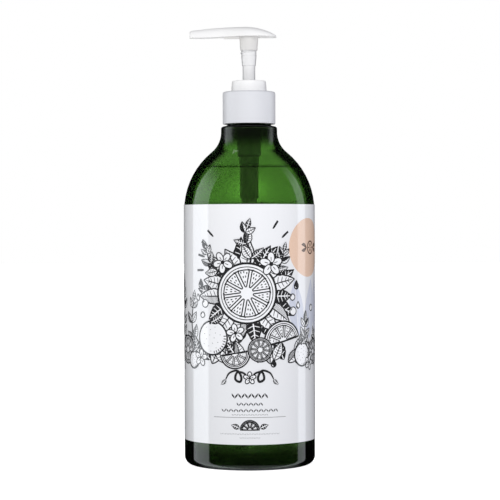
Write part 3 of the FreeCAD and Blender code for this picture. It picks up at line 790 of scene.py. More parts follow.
def ring(centre: Vector, radius: float, start: float = 0.0, sweep: float = 360.0) -> list[Vector]:
    """Points along an arc, angles in degrees."""
    steps = max(8, math.ceil(math.radians(abs(sweep)) * radius / 0.8))
    return [centre + heading(start + sweep * k / steps) * radius for k in range(steps + 1)]


@dataclass
class Label:
    """The wrap label and its print. Print places are (along, level) in millimetres; 0 along faces -Y."""

    low: float = sized("label")[0].z
    high: float = sized("label")[1].z
    inner: float = 38.17
    thickness: float = 0.12
    lap_angle: float = 10.0
    reach: float = 0.8
    step: float = 0.006
    low_lift: float = 0.02
    cell: float = 3.0
    bold: float = 1.4
    layer: int = 0
    heap: dict[tuple[int, int], tuple[float, int]] = field(default_factory=dict)
    inks: dict[Ink, Moulding] = field(default_factory=lambda: {ink: Moulding() for ink in Ink})
    chance: random.Random = field(default_factory=lambda: random.Random(11))

    def make_sheet(self) -> None:
        """The film: a thin closed band round the bottle, whose end laps over its start at the back."""
        outer = self.inner + self.thickness
        half = self.lap_angle / 2
        rows = []
        for k in range(SEGMENTS * 2 + 1):
            angle = 90 - half + (360 + self.lap_angle) * k / (SEGMENTS * 2)
            past = max(0.0, (angle - (450 - half - 2.0)) / 2.0)
            lift = self.thickness * min(1.0, past) * 1.02
            side = heading(angle)
            near, far = self.inner + lift, outer + lift
            corners = [(near, self.low), (far, self.low), (far, self.high), (near, self.high)]
            rows.append([Vector((side.x * r, side.y * r, z)) for r, z in corners])
        shape = Moulding()
        shape.grid(rows, wrap=True)
        last = len(shape.points) - 4
        shape.faces += [(0, 1, 2, 3), (last, last + 1, last + 2, last + 3)]
        fitted(shape.piece("label_film"), Finish.FILM, "bottle", "label_paper", "label")

    def lay(self, ink: Ink, rows: Sequence[Sequence[Vector]]) -> None:
        """Lays a grid of print places on the label, just above the layers that are there."""
        cells = {(math.floor(p.x / self.cell), math.floor(p.y / self.cell)) for row in rows for p in row}
        lift = self.low_lift
        for cell in cells:
            height, layer = self.heap.get(cell, (self.low_lift, self.layer))
            lift = max(lift, height if layer == self.layer else height + self.step)
        self.heap.update({cell: (lift, self.layer) for cell in cells})
        radius = self.inner + self.thickness + lift
        wrapped = []
        for row in rows:
            places = [(p.x / (self.inner + self.thickness) - math.pi / 2, p.y) for p in row]
            wrapped.append([Vector((radius * math.cos(a), radius * math.sin(a), z)) for a, z in places])
        self.inks[ink].grid(wrapped)

    def band(self, ink: Ink, left: Sequence[Vector], right: Sequence[Vector]) -> None:
        """Fills between two lines of as many points each."""
        across = max(1, math.ceil(max((a - b).length for a, b in zip(left, right)) / self.reach))
        self.lay(ink, [[a.lerp(b, k / across) for k in range(across + 1)] for a, b in zip(left, right)])

    def line(self, ink: Ink, points: Sequence[Vector], width: float, ends: Flat = (1.0, 1.0)) -> None:
        """Draws a line.

        Args:
            ink: its ink.
            points: the points that it follows.
            width: its width.
            ends: its width at its start and end, as shares of that width.
        """
        path = [points[0]]
        for a, b in zip(points, points[1:]):
            steps = max(1, math.ceil((b - a).length / self.reach))
            path += [a.lerp(b, k / steps) for k in range(1, steps + 1)]
        closed = (path[0] - path[-1]).length < 1e-6
        left, right = [], []
        for i, point in enumerate(path):
            before = path[i - 1] if i else (path[-2] if closed else point)
            after = path[i + 1] if i < len(path) - 1 else (path[1] if closed else point)
            along = (after - before).normalized()
            share = i / (len(path) - 1)
            swell = 1.0 if closed else math.sin(math.pi * share) ** 0.6
            edge = ends[0] * (1 - share) + ends[1] * share
            half = self.bold * width / 2 * (edge + (1 - edge) * swell)
            normal = Vector((-along.y, along.x)) * half
            left.append(point + normal)
            right.append(point - normal)
        self.band(ink, left, right)

    def blot(self, ink: Ink, centre: Vector, edge: Sequence[Vector]) -> None:
        """Fills a shape whose whole edge can be seen from its centre."""
        rings = max(2, math.ceil(max((p - centre).length for p in edge) / self.reach))
        self.lay(ink, [[centre.lerp(p, k / rings) for p in edge] for k in range(rings + 1)])

    def over(self) -> None:
        """Puts what is drawn next on top of what is there."""
        self.layer += 1

    def leaf(
        self, root: Vector, angle: float, length: float, width: float, style: LeafStyle, curl: float = 0.0
    ) -> None:
        """Draws a leaf.

        Args:
            root: where it starts.
            angle: its heading in degrees.
            length: its length.
            width: its width.
            style: how it is drawn.
            curl: how far its heading turns along it, in degrees.
        """
        steps = 22
        spine, left, right = [root.copy()], [], []
        for k in range(steps):
            spine.append(spine[-1] + heading(angle + curl * (k + 0.5) / steps) * (length / steps))
        for k, point in enumerate(spine):
            share = k / steps
            tooth = 1.0 + 0.09 * abs(math.sin(share * math.pi * 6))
            half = width / 2 * math.sin(math.pi * share**0.8) * tooth
            normal = heading(angle + curl * share + 90) * half
            left.append(point + normal)
            right.append(point - normal)
        self.over()
        fine = min(0.55, 0.25 + length * 0.018)
        edge = left + right[::-1] + [left[0]]
        fill = Ink.BLACK if style is LeafStyle.SOLID else Ink.WHITE
        self.band(fill, left, right)
        self.over()
        vein = Ink.WHITE if style is LeafStyle.SOLID else Ink.BLACK
        self.line(vein, spine[1 : steps - 1], fine * 0.9, (0.9, 0.4))
        pairs = 5 if length > 7 else 3
        for k in range(1, pairs + 1):
            place = round(steps * (0.12 + 0.62 * k / pairs))
            for side in (left, right):
                tip = side[min(steps - 1, place + 2)]
                if style is LeafStyle.HATCHED and side is left:
                    continue
                self.line(vein, [spine[place], spine[place].lerp(tip, 0.8)], fine * 0.55, (1.0, 0.3))
        if style is LeafStyle.HATCHED:
            for k in range(2, steps - 2):
                self.line(Ink.BLACK, [spine[k], spine[k].lerp(left[k + 1], 0.95)], 0.22)
        if style is not LeafStyle.SOLID:
            self.line(Ink.BLACK, edge, fine)

    def sprig(
        self, points: Sequence[Flat], leaf_length: float, count: int, styles: Sequence[LeafStyle]
    ) -> None:
        """A stem with pairs of leaves that get smaller towards its tip, and a leaf at the tip."""
        stem = smooth(points)
        self.over()
        self.line(Ink.BLACK, stem, 0.75, (1.0, 0.5))
        for k in range(count):
            share = (k + 0.6) / count
            index = min(len(stem) - 2, round(share * (len(stem) - 1)))
            along = stem[index + 1] - stem[index - 1]
            angle = math.degrees(math.atan2(along.y, along.x))
            length = leaf_length * (1.0 - 0.45 * share)
            for side in (-1, 1):
                style = styles[(k * 2 + (side > 0)) % len(styles)]
                self.leaf(stem[index], angle + side * 52, length, length * 0.5, style, -side * 24)
        along = stem[-1] - stem[-2]
        tip_angle = math.degrees(math.atan2(along.y, along.x))
        self.leaf(stem[-1], tip_angle, leaf_length * 0.62, leaf_length * 0.3, styles[0])

    def slice(self, centre: Vector, radius: float, turn: float = 0.0, sweep: float = 360.0) -> None:
        """A slice of citrus, whole or cut.

        Args:
            centre: its middle.
            radius: its radius.
            turn: where its first segment starts, in degrees.
            sweep: 360 for a whole slice, 180 for a half.
        """
        self.over()
        rind = ring(centre, radius, turn, sweep)
        self.blot(Ink.WHITE, centre, rind)
        self.over()
        bold = 0.35 + radius * 0.03
        whole = sweep > 359
        outline = rind if whole else [centre] + rind + [centre]
        self.line(Ink.BLACK, outline, bold)
        gap = 0 if whole else 3
        self.line(Ink.BLACK, ring(centre, radius * 0.88, turn + gap, sweep - 2 * gap), 0.35)
        count = round(sweep / 36)
        for k in range(count):
            first = turn + sweep * k / count + 3.5
            last = turn + sweep * (k + 1) / count - 3.5
            middle = (first + last) / 2
            corners = [
                (*(centre + heading(middle) * radius * 0.15), radius * 0.03),
                (*(centre + heading(first) * radius * 0.79), radius * 0.07),
                (*(centre + heading(middle) * radius * 0.845), radius * 0.8),
                (*(centre + heading(last) * radius * 0.79), radius * 0.07),
            ]
            edge = [Vector(p) for p in rounded(corners)]
            self.line(Ink.BLACK, edge + [edge[0]], 0.28 + radius * 0.012)
            for row in range(3):
                for dash in range(row + 1):
                    spread = (dash - row / 2) * 8.0
                    inner = radius * (0.36 + 0.145 * row + self.chance.uniform(-0.02, 0.02))
                    start = centre + heading(middle + spread) * inner
                    end = centre + heading(middle + spread) * (inner + radius * 0.075)
                    self.line(Ink.BLACK, [start, end], 0.12 + radius * 0.02, (0.2, 1.0))

    def fruit(self, centre: Vector, radius: float) -> None:
        """A whole fruit with dimples, a shadow of short strokes and a leaf."""
        self.over()
        edge = ring(centre, radius)
        self.blot(Ink.WHITE, centre, edge)
        self.over()
        self.line(Ink.BLACK, edge, 0.7)
        for k in range(16):
            angle = k * 137.5
            reach = radius * 0.8 * math.sqrt((k + 0.5) / 16)
            spot = centre + heading(angle) * reach
            self.blot(Ink.BLACK, spot, ring(spot, 0.22))
        for k in range(9):
            side = heading(-80 + k * 11)
            self.line(Ink.BLACK, [centre + side * radius * 0.78, centre + side * radius * 0.93], 0.4)
        root = centre + heading(100) * radius * 0.82
        stalk = [root, root + Vector((0.2, 1.6)), root + Vector((1.2, 2.8))]
        self.line(Ink.BLACK, smooth(stalk), 0.9)
        self.leaf(root + Vector((0.4, 1.0)), 20, radius * 1.05, radius * 0.5, LeafStyle.SOLID, 22)

    def blossom(self, centre: Vector, radius: float, turn: float = 0.0) -> None:
        """A small five-petalled flower."""
        for k in range(5):
            along, across = heading(turn + 72 * k), heading(turn + 72 * k + 90)
            middle = centre + along * radius * 0.58
            edge = []
            for s in range(25):
                around = 360 * s / 24
                local = heading(around)
                out = radius * 0.44 * (1 + 0.12 * math.cos(math.radians(2 * around)))
                edge.append(middle + along * local.x * out + across * local.y * out * 0.85)
            self.over()
            self.blot(Ink.WHITE, middle, edge)
            self.over()
            self.line(Ink.BLACK, edge, 0.42)
            self.line(Ink.BLACK, [centre + along * radius * 0.3, centre + along * radius * 0.62], 0.3)
        self.over()
        self.blot(Ink.BLACK, centre, ring(centre, radius * 0.2))

    def drop(self, tip: Vector, length: float, filled: bool = False) -> None:
        """A falling drop under its tip."""
        radius = length * 0.34
        middle = tip - Vector((0.0, length - radius))
        arc = ring(middle, radius, 150, 240)
        edge = [tip] + arc + [tip]
        self.over()
        self.blot(Ink.BLACK if filled else Ink.WHITE, middle, edge)
        self.over()
        self.line(Ink.BLACK, edge, 0.45)
        self.line(Ink.WHITE if filled else Ink.BLACK, ring(middle, radius * 0.6, 190, 70), 0.3)

    def bubble(self, centre: Vector, radius: float) -> None:
        """A soap bubble with a glint."""
        self.over()
        self.blot(Ink.WHITE, centre, ring(centre, radius))
        self.over()
        self.line(Ink.BLACK, ring(centre, radius), 0.42)
        self.line(Ink.BLACK, ring(centre, radius * 0.68, 110, 60), 0.35, (0.3, 0.3))

    def blade(self, ink: Ink, spine: Sequence[Vector], half: Vector, skew: float = 1.0) -> None:
        """Fills a plain pointed leaf along a spine, whose half width is a vector across it."""
        steps = len(spine) - 1
        halves = [half * math.sin(math.pi * (k / steps) ** skew) for k in range(steps + 1)]
        self.band(ink, [p + h for p, h in zip(spine, halves)], [p - h for p, h in zip(spine, halves)])

    def rule(
        self, level: float, reach: float, ink: Ink = Ink.GREY, width: float = 0.2, middle: float = 0.0
    ) -> None:
        """A thin level line."""
        self.line(ink, [Vector((middle - reach, level)), Vector((middle + reach, level))], width)

    def garland(
        self,
        level: float,
        reach: float,
        count: int,
        height: float,
        ink: Ink = Ink.GREY,
        middle: float = 0.0,
    ) -> None:
        """A row of tiny leaves that lean left and right in turn."""
        for k in range(count):
            place = Vector((middle - reach + 2 * reach * (k + 0.5) / count, level))
            lean = heading(60 if k % 2 else 120)
            foot, tip = place - lean * height / 2, place + lean * height / 2
            bulge = Vector((0.22, 0)) * height * 0.8
            self.band(ink, [foot, place - bulge, tip], [foot, place + bulge, tip])

    def swash(self, middle: Flat, scale: float, side: int) -> None:
        """Half of the flourish under the picture: a curl that ends in a leaf."""
        knots = [(0.0, -2.4), (3.0, 2.6), (7.4, 3.4), (8.6, -0.6), (5.8, -2.2), (5.0, 0.6)]
        knots += [(7.4, 4.4), (12.2, 3.0), (14.6, -0.8)]
        points = [(middle[0] + side * x * scale, middle[1] + y * scale) for x, y in knots]
        self.line(Ink.BLACK, smooth(points, 8), 1.0 * scale, (0.5, 0.4))
        end = Vector(points[-1])
        self.leaf(end, -65 if side > 0 else 245, 4.6 * scale, 2.3 * scale, LeafStyle.SOLID, side * 40)

    def draw_picture(self) -> None:
        """The botanical picture over the front."""
        heart = Vector((-1.5, 101.0))
        styles = [LeafStyle.SOLID, LeafStyle.OUTLINE, LeafStyle.HATCHED]
        for k in range(9):
            angle = 100 + 40 * k
            curl = 14 if k % 2 else -14
            self.leaf(heart + heading(angle) * 12.0, angle, 20.5, 9.0, LeafStyle.SOLID, curl)
        for k in range(15):
            angle = 90 + 24 * k
            length, curl = (16.0, 10) if k % 2 else (18.5, -10)
            self.leaf(heart + heading(angle) * 12.0, angle, length, 8.2, styles[(k + 1) % 3], curl)
        self.sprig([(0.0, 116.0), (1.0, 124.0), (-3.0, 132.0), (-1.5, 137.5)], 10.5, 3, styles)
        self.sprig([(14.0, 112.0), (18.5, 118.0), (20.5, 125.0)], 8.5, 3, styles)
        self.sprig([(-16.0, 112.0), (-23.0, 117.0), (-27.0, 126.0)], 9.5, 3, styles[::-1])
        self.slice(heart, 17.0, 8.0)
        self.blossom(Vector((12.5, 117.5)), 6.4, 20)
        self.blossom(Vector((-15.5, 118.5)), 5.8, 50)
        self.sprig([(-29.0, 60.0), (-37.0, 72.0), (-40.0, 84.0), (-38.0, 96.0)], 11.0, 4, styles)
        self.sprig([(28.0, 62.0), (36.0, 72.0), (37.5, 84.0)], 10.5, 4, styles[::-1])
        self.sprig([(-52.0, 56.0), (-54.0, 74.0), (-52.0, 92.0), (-55.0, 106.0)], 10.5, 7, styles)
        self.sprig([(51.0, 58.0), (53.0, 68.0), (50.0, 76.0)], 9.5, 3, styles)
        for k in range(14):
            place = Vector((-57.0 + 8.6 * k, 61.0 + 2.0 * (k % 2)))
            self.leaf(place, (118, 62, 90)[k % 3], 15.0, 7.0, styles[k % 3], (12, -12)[k % 2])
        for k in range(8):
            place = Vector((-33.0 + 9.4 * k, 61.5 + 1.5 * (k % 2)))
            self.leaf(place, 160 - 20 * k, 11.5, 5.4, styles[(k + 2) % 3], 12)
        self.fruit(Vector((-22.5, 75.5)), 9.6)
        self.slice(Vector((-45.5, 68.0)), 8.0, 20.0)
        self.fruit(Vector((-37.5, 62.5)), 4.8)
        self.slice(Vector((20.0, 73.5)), 11.5, 14.0, 180.0)
        self.fruit(Vector((34.5, 65.5)), 6.6)
        self.slice(Vector((48.0, 66.5)), 7.0, 80.0)
        self.slice(Vector((-8.5, 67.0)), 8.6, 190.0, 180.0)
        self.slice(Vector((6.0, 69.0)), 6.8, 30.0)
        self.blossom(Vector((-31.0, 64.0)), 4.6, 10)
        self.blossom(Vector((-8.0, 78.5)), 5.0, 30)
        self.blossom(Vector((41.5, 60.5)), 4.0, 0)
        drops = ((-31, 109, 5.0), (29.5, 108, 5.0), (31.0, 96, 4.0), (-33.5, 100.5, 4.0), (13.8, 63.5, 4.4))
        for x, y, size in drops:
            self.drop(Vector((x, y)), size, size > 4.2)
        bubbles = [(-27.5, 95.0, 2.2), (26.5, 98.5, 1.8), (27.0, 90.5, 2.4), (-29.5, 88.5, 1.6)]
        for x, y, size in bubbles + [(45.0, 92.0, 1.9)]:
            self.bubble(Vector((x, y)), size)
        self.over()
        for angle in (40, 56, 138, 152, 166, 182):
            centre, side = heart + Vector((0.0, 14.0)), heading(angle)
            self.line(Ink.BLACK, [centre + side * 27.0, centre + side * 32.5], 0.9, (0.3, 1.0))

    def draw_disc(self) -> None:
        """The peach disc with its small motif, and the pale leaves under it."""
        centre = Vector((40.9, 126.7))
        self.over()
        self.blot(Ink.PEACH, centre, ring(centre, 16.9))
        self.over()
        middle = centre + Vector((3.2, 0.0))
        self.line(Ink.BROWN, ring(middle, 3.6), 0.6)
        for k in range(6):
            spoke = heading(60 * k)
            self.line(Ink.BROWN, [middle + spoke * 0.8, middle + spoke * 2.7], 0.5)
        for side in (-1, 1):
            for rise in (-1, 1):
                root = middle + Vector((side * 4.6, 0.0))
                bend = root + Vector((side * 2.6, rise * 1.5))
                tip = root + Vector((side * 5.4, rise * 1.7))
                self.blade(Ink.BROWN, smooth([root, bend, tip]), heading(90) * 1.1)
        for x, y, angle, length in ((31.5, 76.0, 96, 33.0), (42.5, 74.0, 86, 35.0), (53.5, 76.0, 92, 34.0)):
            steps = 24
            spine = [Vector((x, y)) + heading(angle) * length * k / steps for k in range(steps + 1)]
            self.blade(Ink.MIST, spine, heading(angle + 90) * 5.9, 0.85)
            self.over()
            self.line(Ink.WHITE, spine[2:-3], 0.35, (1.0, 0.4))

    def draw_lower(self) -> None:
        """The flourish, garlands and rules under the picture, where a label carries its words."""
        self.over()
        for side in (-1, 1):
            self.swash((0.0, 53.0), 0.95, side)
        self.blossom(Vector((0.0, 53.0)), 3.4, 90)
        self.garland(42.9, 10.5, 11, 3.6, Ink.BLACK)
        self.garland(38.2, 7.6, 11, 2.4, Ink.BLACK)
        self.garland(34.6, 16.5, 23, 2.4, Ink.BLACK)
        self.garland(32.2, 10.5, 21, 1.3)
        self.rule(30.7, 21.5)
        self.slice(Vector((0.0, 23.6)), 5.4, 0.0, 180.0)
        for side in (-1, 1):
            self.leaf(Vector((side * 5.8, 24.4)), 90 - side * 60, 5.4, 3.0, LeafStyle.SOLID, -side * 16)
        self.garland(21.3, 17.5, 36, 1.1)
        self.garland(19.1, 6.0, 12, 1.1)

    def draw_back(self) -> None:
        """Plain ornaments and rules over the back."""
        turn = math.pi * (self.inner + self.thickness)
        for side in (-1, 1):
            middle = turn * side * 0.78
            for k in range(16):
                self.garland(126.0 - 4.2 * k, 17.0 - 2.0 * (k % 3), 22 - 2 * (k % 3), 1.5, Ink.GREY, middle)
            self.rule(133.0, 17.0, Ink.BLACK, 0.5, middle)
            self.rule(56.0, 17.0, Ink.GREY, 0.25, middle)
            self.slice(Vector((middle, 43.0)), 7.0, 10.0)
            self.leaf(Vector((middle - 8, 41.0)), 160, 8.0, 4.0, LeafStyle.SOLID, 20)
            self.leaf(Vector((middle + 8, 41.0)), 20, 8.0, 4.0, LeafStyle.OUTLINE, -20)

    def make_print(self) -> None:
        """All the print, as one piece for each ink."""
        self.draw_disc()
        self.draw_picture()
        self.draw_lower()
        self.draw_back()
        for ink, shape in self.inks.items():
            fitted(shape.piece("label_" + ink.value.value.name), ink.value, "bottle", "label_paper")


# The pump


@dataclass
class Pump:
    """Closure, collar, housing, gasket, tube, piston, spring, stem and balls, in millimetres."""

    closure_radius: float = sized("closure")[1].x
    closure_low: float = sized("closure")[0].z
    closure_top: float = sized("closure")[1].z
    collar_low: float = sized("locking_collar")[0].z
    collar_top: float = sized("locking_collar")[1].z
    stem_low: float = sized("pump_stem")[0].z
    stem_top: float = sized("pump_stem")[1].z
    tube_low: float = sized("dip_tube")[0].z
    tube_top: float = sized("dip_tube")[1].z
    piston_low: float = sized("piston")[0].z
    piston_top: float = sized("piston")[1].z
    spring_low: float = sized("return_spring")[0].z
    spring_high: float = sized("return_spring")[1].z
    flange_low: float = sized("neck_gasket")[1].z
    flange_high: float = sized("neck_gasket")[1].z + 1.2
    crown_top: float = sized("pump_housing")[1].z
    socket_low: float = sized("pump_housing")[0].z

    def make_closure(self) -> None:
        """The smooth white closure with its inner thread."""
        bore, hole, roof = 14.1, 9.2, self.closure_top - 1.2
        outline = rounded([
            (bore, self.closure_low),
            (self.closure_radius, self.closure_low, 0.3),
            (self.closure_radius, self.closure_top, 1.2),
            (hole, self.closure_top, 0.3),
            (hole, roof),
            (bore, roof, 0.3),
        ])
        shape = Moulding().turned(outline)
        shape.ridge((bore + 0.05, 13.05, 2.3, 1.1), 202.85, 4.23, 1.25)
        fitted(shape.piece("closure_body"), Finish.CLOSURE_WHITE, "closure", "white_plastic", "closure")

    def make_collar(self) -> None:
        """The locking collar, snapped on the housing's crown, with its guide and twist thread."""
        crown, play = self.crown_top, 0.1
        pocket, recess, guide = 8.35, 5.35, 3.75
        outer = 10.4
        outline = rounded([
            (pocket, self.closure_top + play),
            (outer, self.closure_top + play),
            (outer - 0.5, self.collar_top, 0.8),
            (recess, self.collar_top, 0.4),
            (recess, self.collar_top - 9.5),
            (guide, self.collar_top - 9.5, 0.2),
            (guide, self.collar_low),
            (6.2, self.collar_low),
            (6.2, crown + play),
            (pocket, crown + play),
        ])
        shape = Moulding().turned(outline)
        shape.ridge((recess + 0.05, 4.62, 0.9, 0.4), self.collar_top - 3.79, 2.6, 0.9)
        fitted(shape.piece("collar_body"), Finish.COLLAR_WHITE, "pump", "white_plastic", "locking_collar")

    def make_gasket(self) -> None:
        """The foam ring under the housing's flange."""
        low = self.flange_low - 1.0
        top = self.flange_low
        outline = rounded([(7.3, low), (12.5, low, 0.2), (12.5, top, 0.2), (7.3, top)])
        fitted(Moulding().turned(outline).piece("gasket_ring"), Finish.FOAM, "pump", "foam", "neck_gasket")

    def make_housing(self) -> None:
        """The pump's housing, from the crown over the flange down to the tube socket."""
        barrel, cup, stalk, bore = 7.0, 5.8, 4.0, 6.3
        barrel_foot = self.piston_low - 18.5
        cup_foot = barrel_foot - 5.0
        ledge = cup_foot + 0.7
        socket_top = self.tube_top + 0.02
        outline = rounded([
            (bore, self.crown_top, 0.2),
            (8.3, self.crown_top, 0.2),
            (8.3, self.flange_high + 2.8),
            (8.6, self.flange_high + 2.5),
            (8.6, self.flange_high + 2.15),
            (8.3, self.flange_high + 2.0),
            (8.3, self.flange_high),
            (12.5, self.flange_high, 0.2),
            (12.5, self.flange_low, 0.2),
            (barrel, self.flange_low),
            (barrel, barrel_foot, 0.4),
            (cup, barrel_foot - 1.2, 0.4),
            (cup, cup_foot, 0.4),
            (stalk, cup_foot - 1.8, 0.4),
            (stalk, self.socket_low, 0.2),
            (3.4, self.socket_low),
            (3.4, socket_top),
            (1.5, socket_top),
            (1.5, socket_top + 1.3),
            (3.1, socket_top + 2.9),
            (3.1, ledge),
            (5.1, ledge),
            (5.1, barrel_foot - 0.5),
            (bore, barrel_foot + 0.7),
        ])
        housing = Moulding().turned(outline).piece("housing_body")
        fitted(housing, Finish.HOUSING, "pump", "natural_plastic", "pump_housing")

    def make_tube(self) -> None:
        """The dip tube, cut on a slant at its foot."""
        outer, bore, slant = 3.38, 2.6, math.tan(math.radians(40))
        rows = []
        for k in range(64):
            side = heading(360 * k / 64)
            section = []
            for radius, top in ((bore, False), (outer, False), (outer, True), (bore, True)):
                low = self.tube_low + max(0.0, side.x * radius + outer) * slant
                section.append(Vector((side.x * radius, side.y * radius, self.tube_top if top else low)))
            rows.append(section)
        shape = Moulding()
        shape.grid(rows, wrap=True, close=True)
        fitted(shape.piece("dip_tube_body"), Finish.TUBE, "pump", "tube_plastic", "dip_tube")

    def make_piston(self) -> None:
        """The piston with its two lips, web and hub."""
        low, top = self.piston_low, self.piston_top
        outline = rounded([
            (2.8, top - 6.9),
            (3.6, top - 6.9, 0.15),
            (3.6, top - 5.5),
            (5.3, top - 5.5),
            (5.3, low),
            (6.25, low, 0.05),
            (6.0, low + 1.2, 0.6),
            (6.0, top - 1.2, 0.6),
            (6.25, top, 0.05),
            (5.3, top),
            (5.3, top - 4.3),
            (3.6, top - 4.3),
            (3.6, top - 0.9, 0.15),
            (2.8, top - 0.9),
        ])
        piston = Moulding().turned(outline).piece("piston_body")
        fitted(piston, Finish.PISTON, "piston", "piston_plastic", "piston")

    def make_spring(self) -> None:
        """The return spring: a coil with closed turns at both ends."""
        radius, wire, turns, closed = 4.3, 0.5, 8.0, 1.0
        per_turn, around = 36, 14
        rise = self.spring_high - self.spring_low - wire * 2
        tight = wire * 2 + 0.02
        climb = (rise - tight * closed * 2) / (turns - closed * 2)
        level, rows = self.spring_low + wire, []
        for k in range(round(turns * per_turn) + 1):
            angle, turn = FULL_TURN * k / per_turn, (k + 0.5) / per_turn
            row = []
            for s in range(around):
                lean = FULL_TURN * s / around
                reach, height = radius + wire * math.cos(lean), level + wire * math.sin(lean)
                row.append(Vector((reach * math.cos(angle), reach * math.sin(angle), height)))
            rows.append(row)
            level += (tight if turn < closed or turn > turns - closed else climb) / per_turn
        shape = Moulding()
        shape.grid(rows, wrap=True)
        last = len(shape.points) - around
        shape.faces += [tuple(range(around)), tuple(range(last, last + around))]
        spring = shape.piece("return_spring_coil")
        spring.data.materials.append(Finish.WIRE.material())
        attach(spring, "pump")
        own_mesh(spring)
        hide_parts("return_spring")
        log.info("return_spring_coil: %d faces on pump", len(spring.data.polygons))

    def make_stem(self) -> None:
        """The stem with its snap end, cone, twist thread and plug."""
        top, bore = self.stem_top, 1.6
        cone_top, head_low = top - 9.1, top - 5.8
        cone_low = cone_top - 5.7
        snap_low = self.stem_low + 0.4
        outline = rounded([
            (bore, self.stem_low),
            (2.5, self.stem_low),
            (3.0, snap_low),
            (3.0, snap_low + 0.7),
            (2.75, snap_low + 0.7),
            (2.75, self.piston_top - 0.9),
            (3.65, self.piston_top - 0.9, 0.25),
            (3.65, cone_low, 0.15),
            (3.95, cone_low + 0.05, 0.1),
            (4.45, cone_top, 0.25),
            (4.35, cone_top + 0.1),
            (4.35, head_low),
            (3.4, head_low),
            (3.4, top, 0.25),
            (2.45, top),
            (2.45, top - 7.75),
            (1.2, top - 9.0),
            (1.2, top - 10.2),
            (bore, top - 10.2),
        ])
        shape = Moulding().turned(outline)
        shape.ridge((4.3, 4.85, 0.9, 0.4), cone_top + 0.45, 2.6, 0.9)
        fitted(shape.piece("stem_body"), Finish.NATURAL, "head", "natural_plastic", "pump_stem")

    def make_ball(self, node: str, finish: Finish, slot: str) -> None:
        """One valve ball, on its own body."""
        low, high = sized(node)
        middle, radius = (low.z + high.z) / 2, (high.z - low.z) / 2
        arc = [heading(-90 + 180 * k / 40) * radius for k in range(41)]
        shape = Moulding().turned([(max(0.0, p.x), middle + p.y) for p in arc], 96)
        fitted(shape.piece(node + "_body"), finish, node, slot, node)


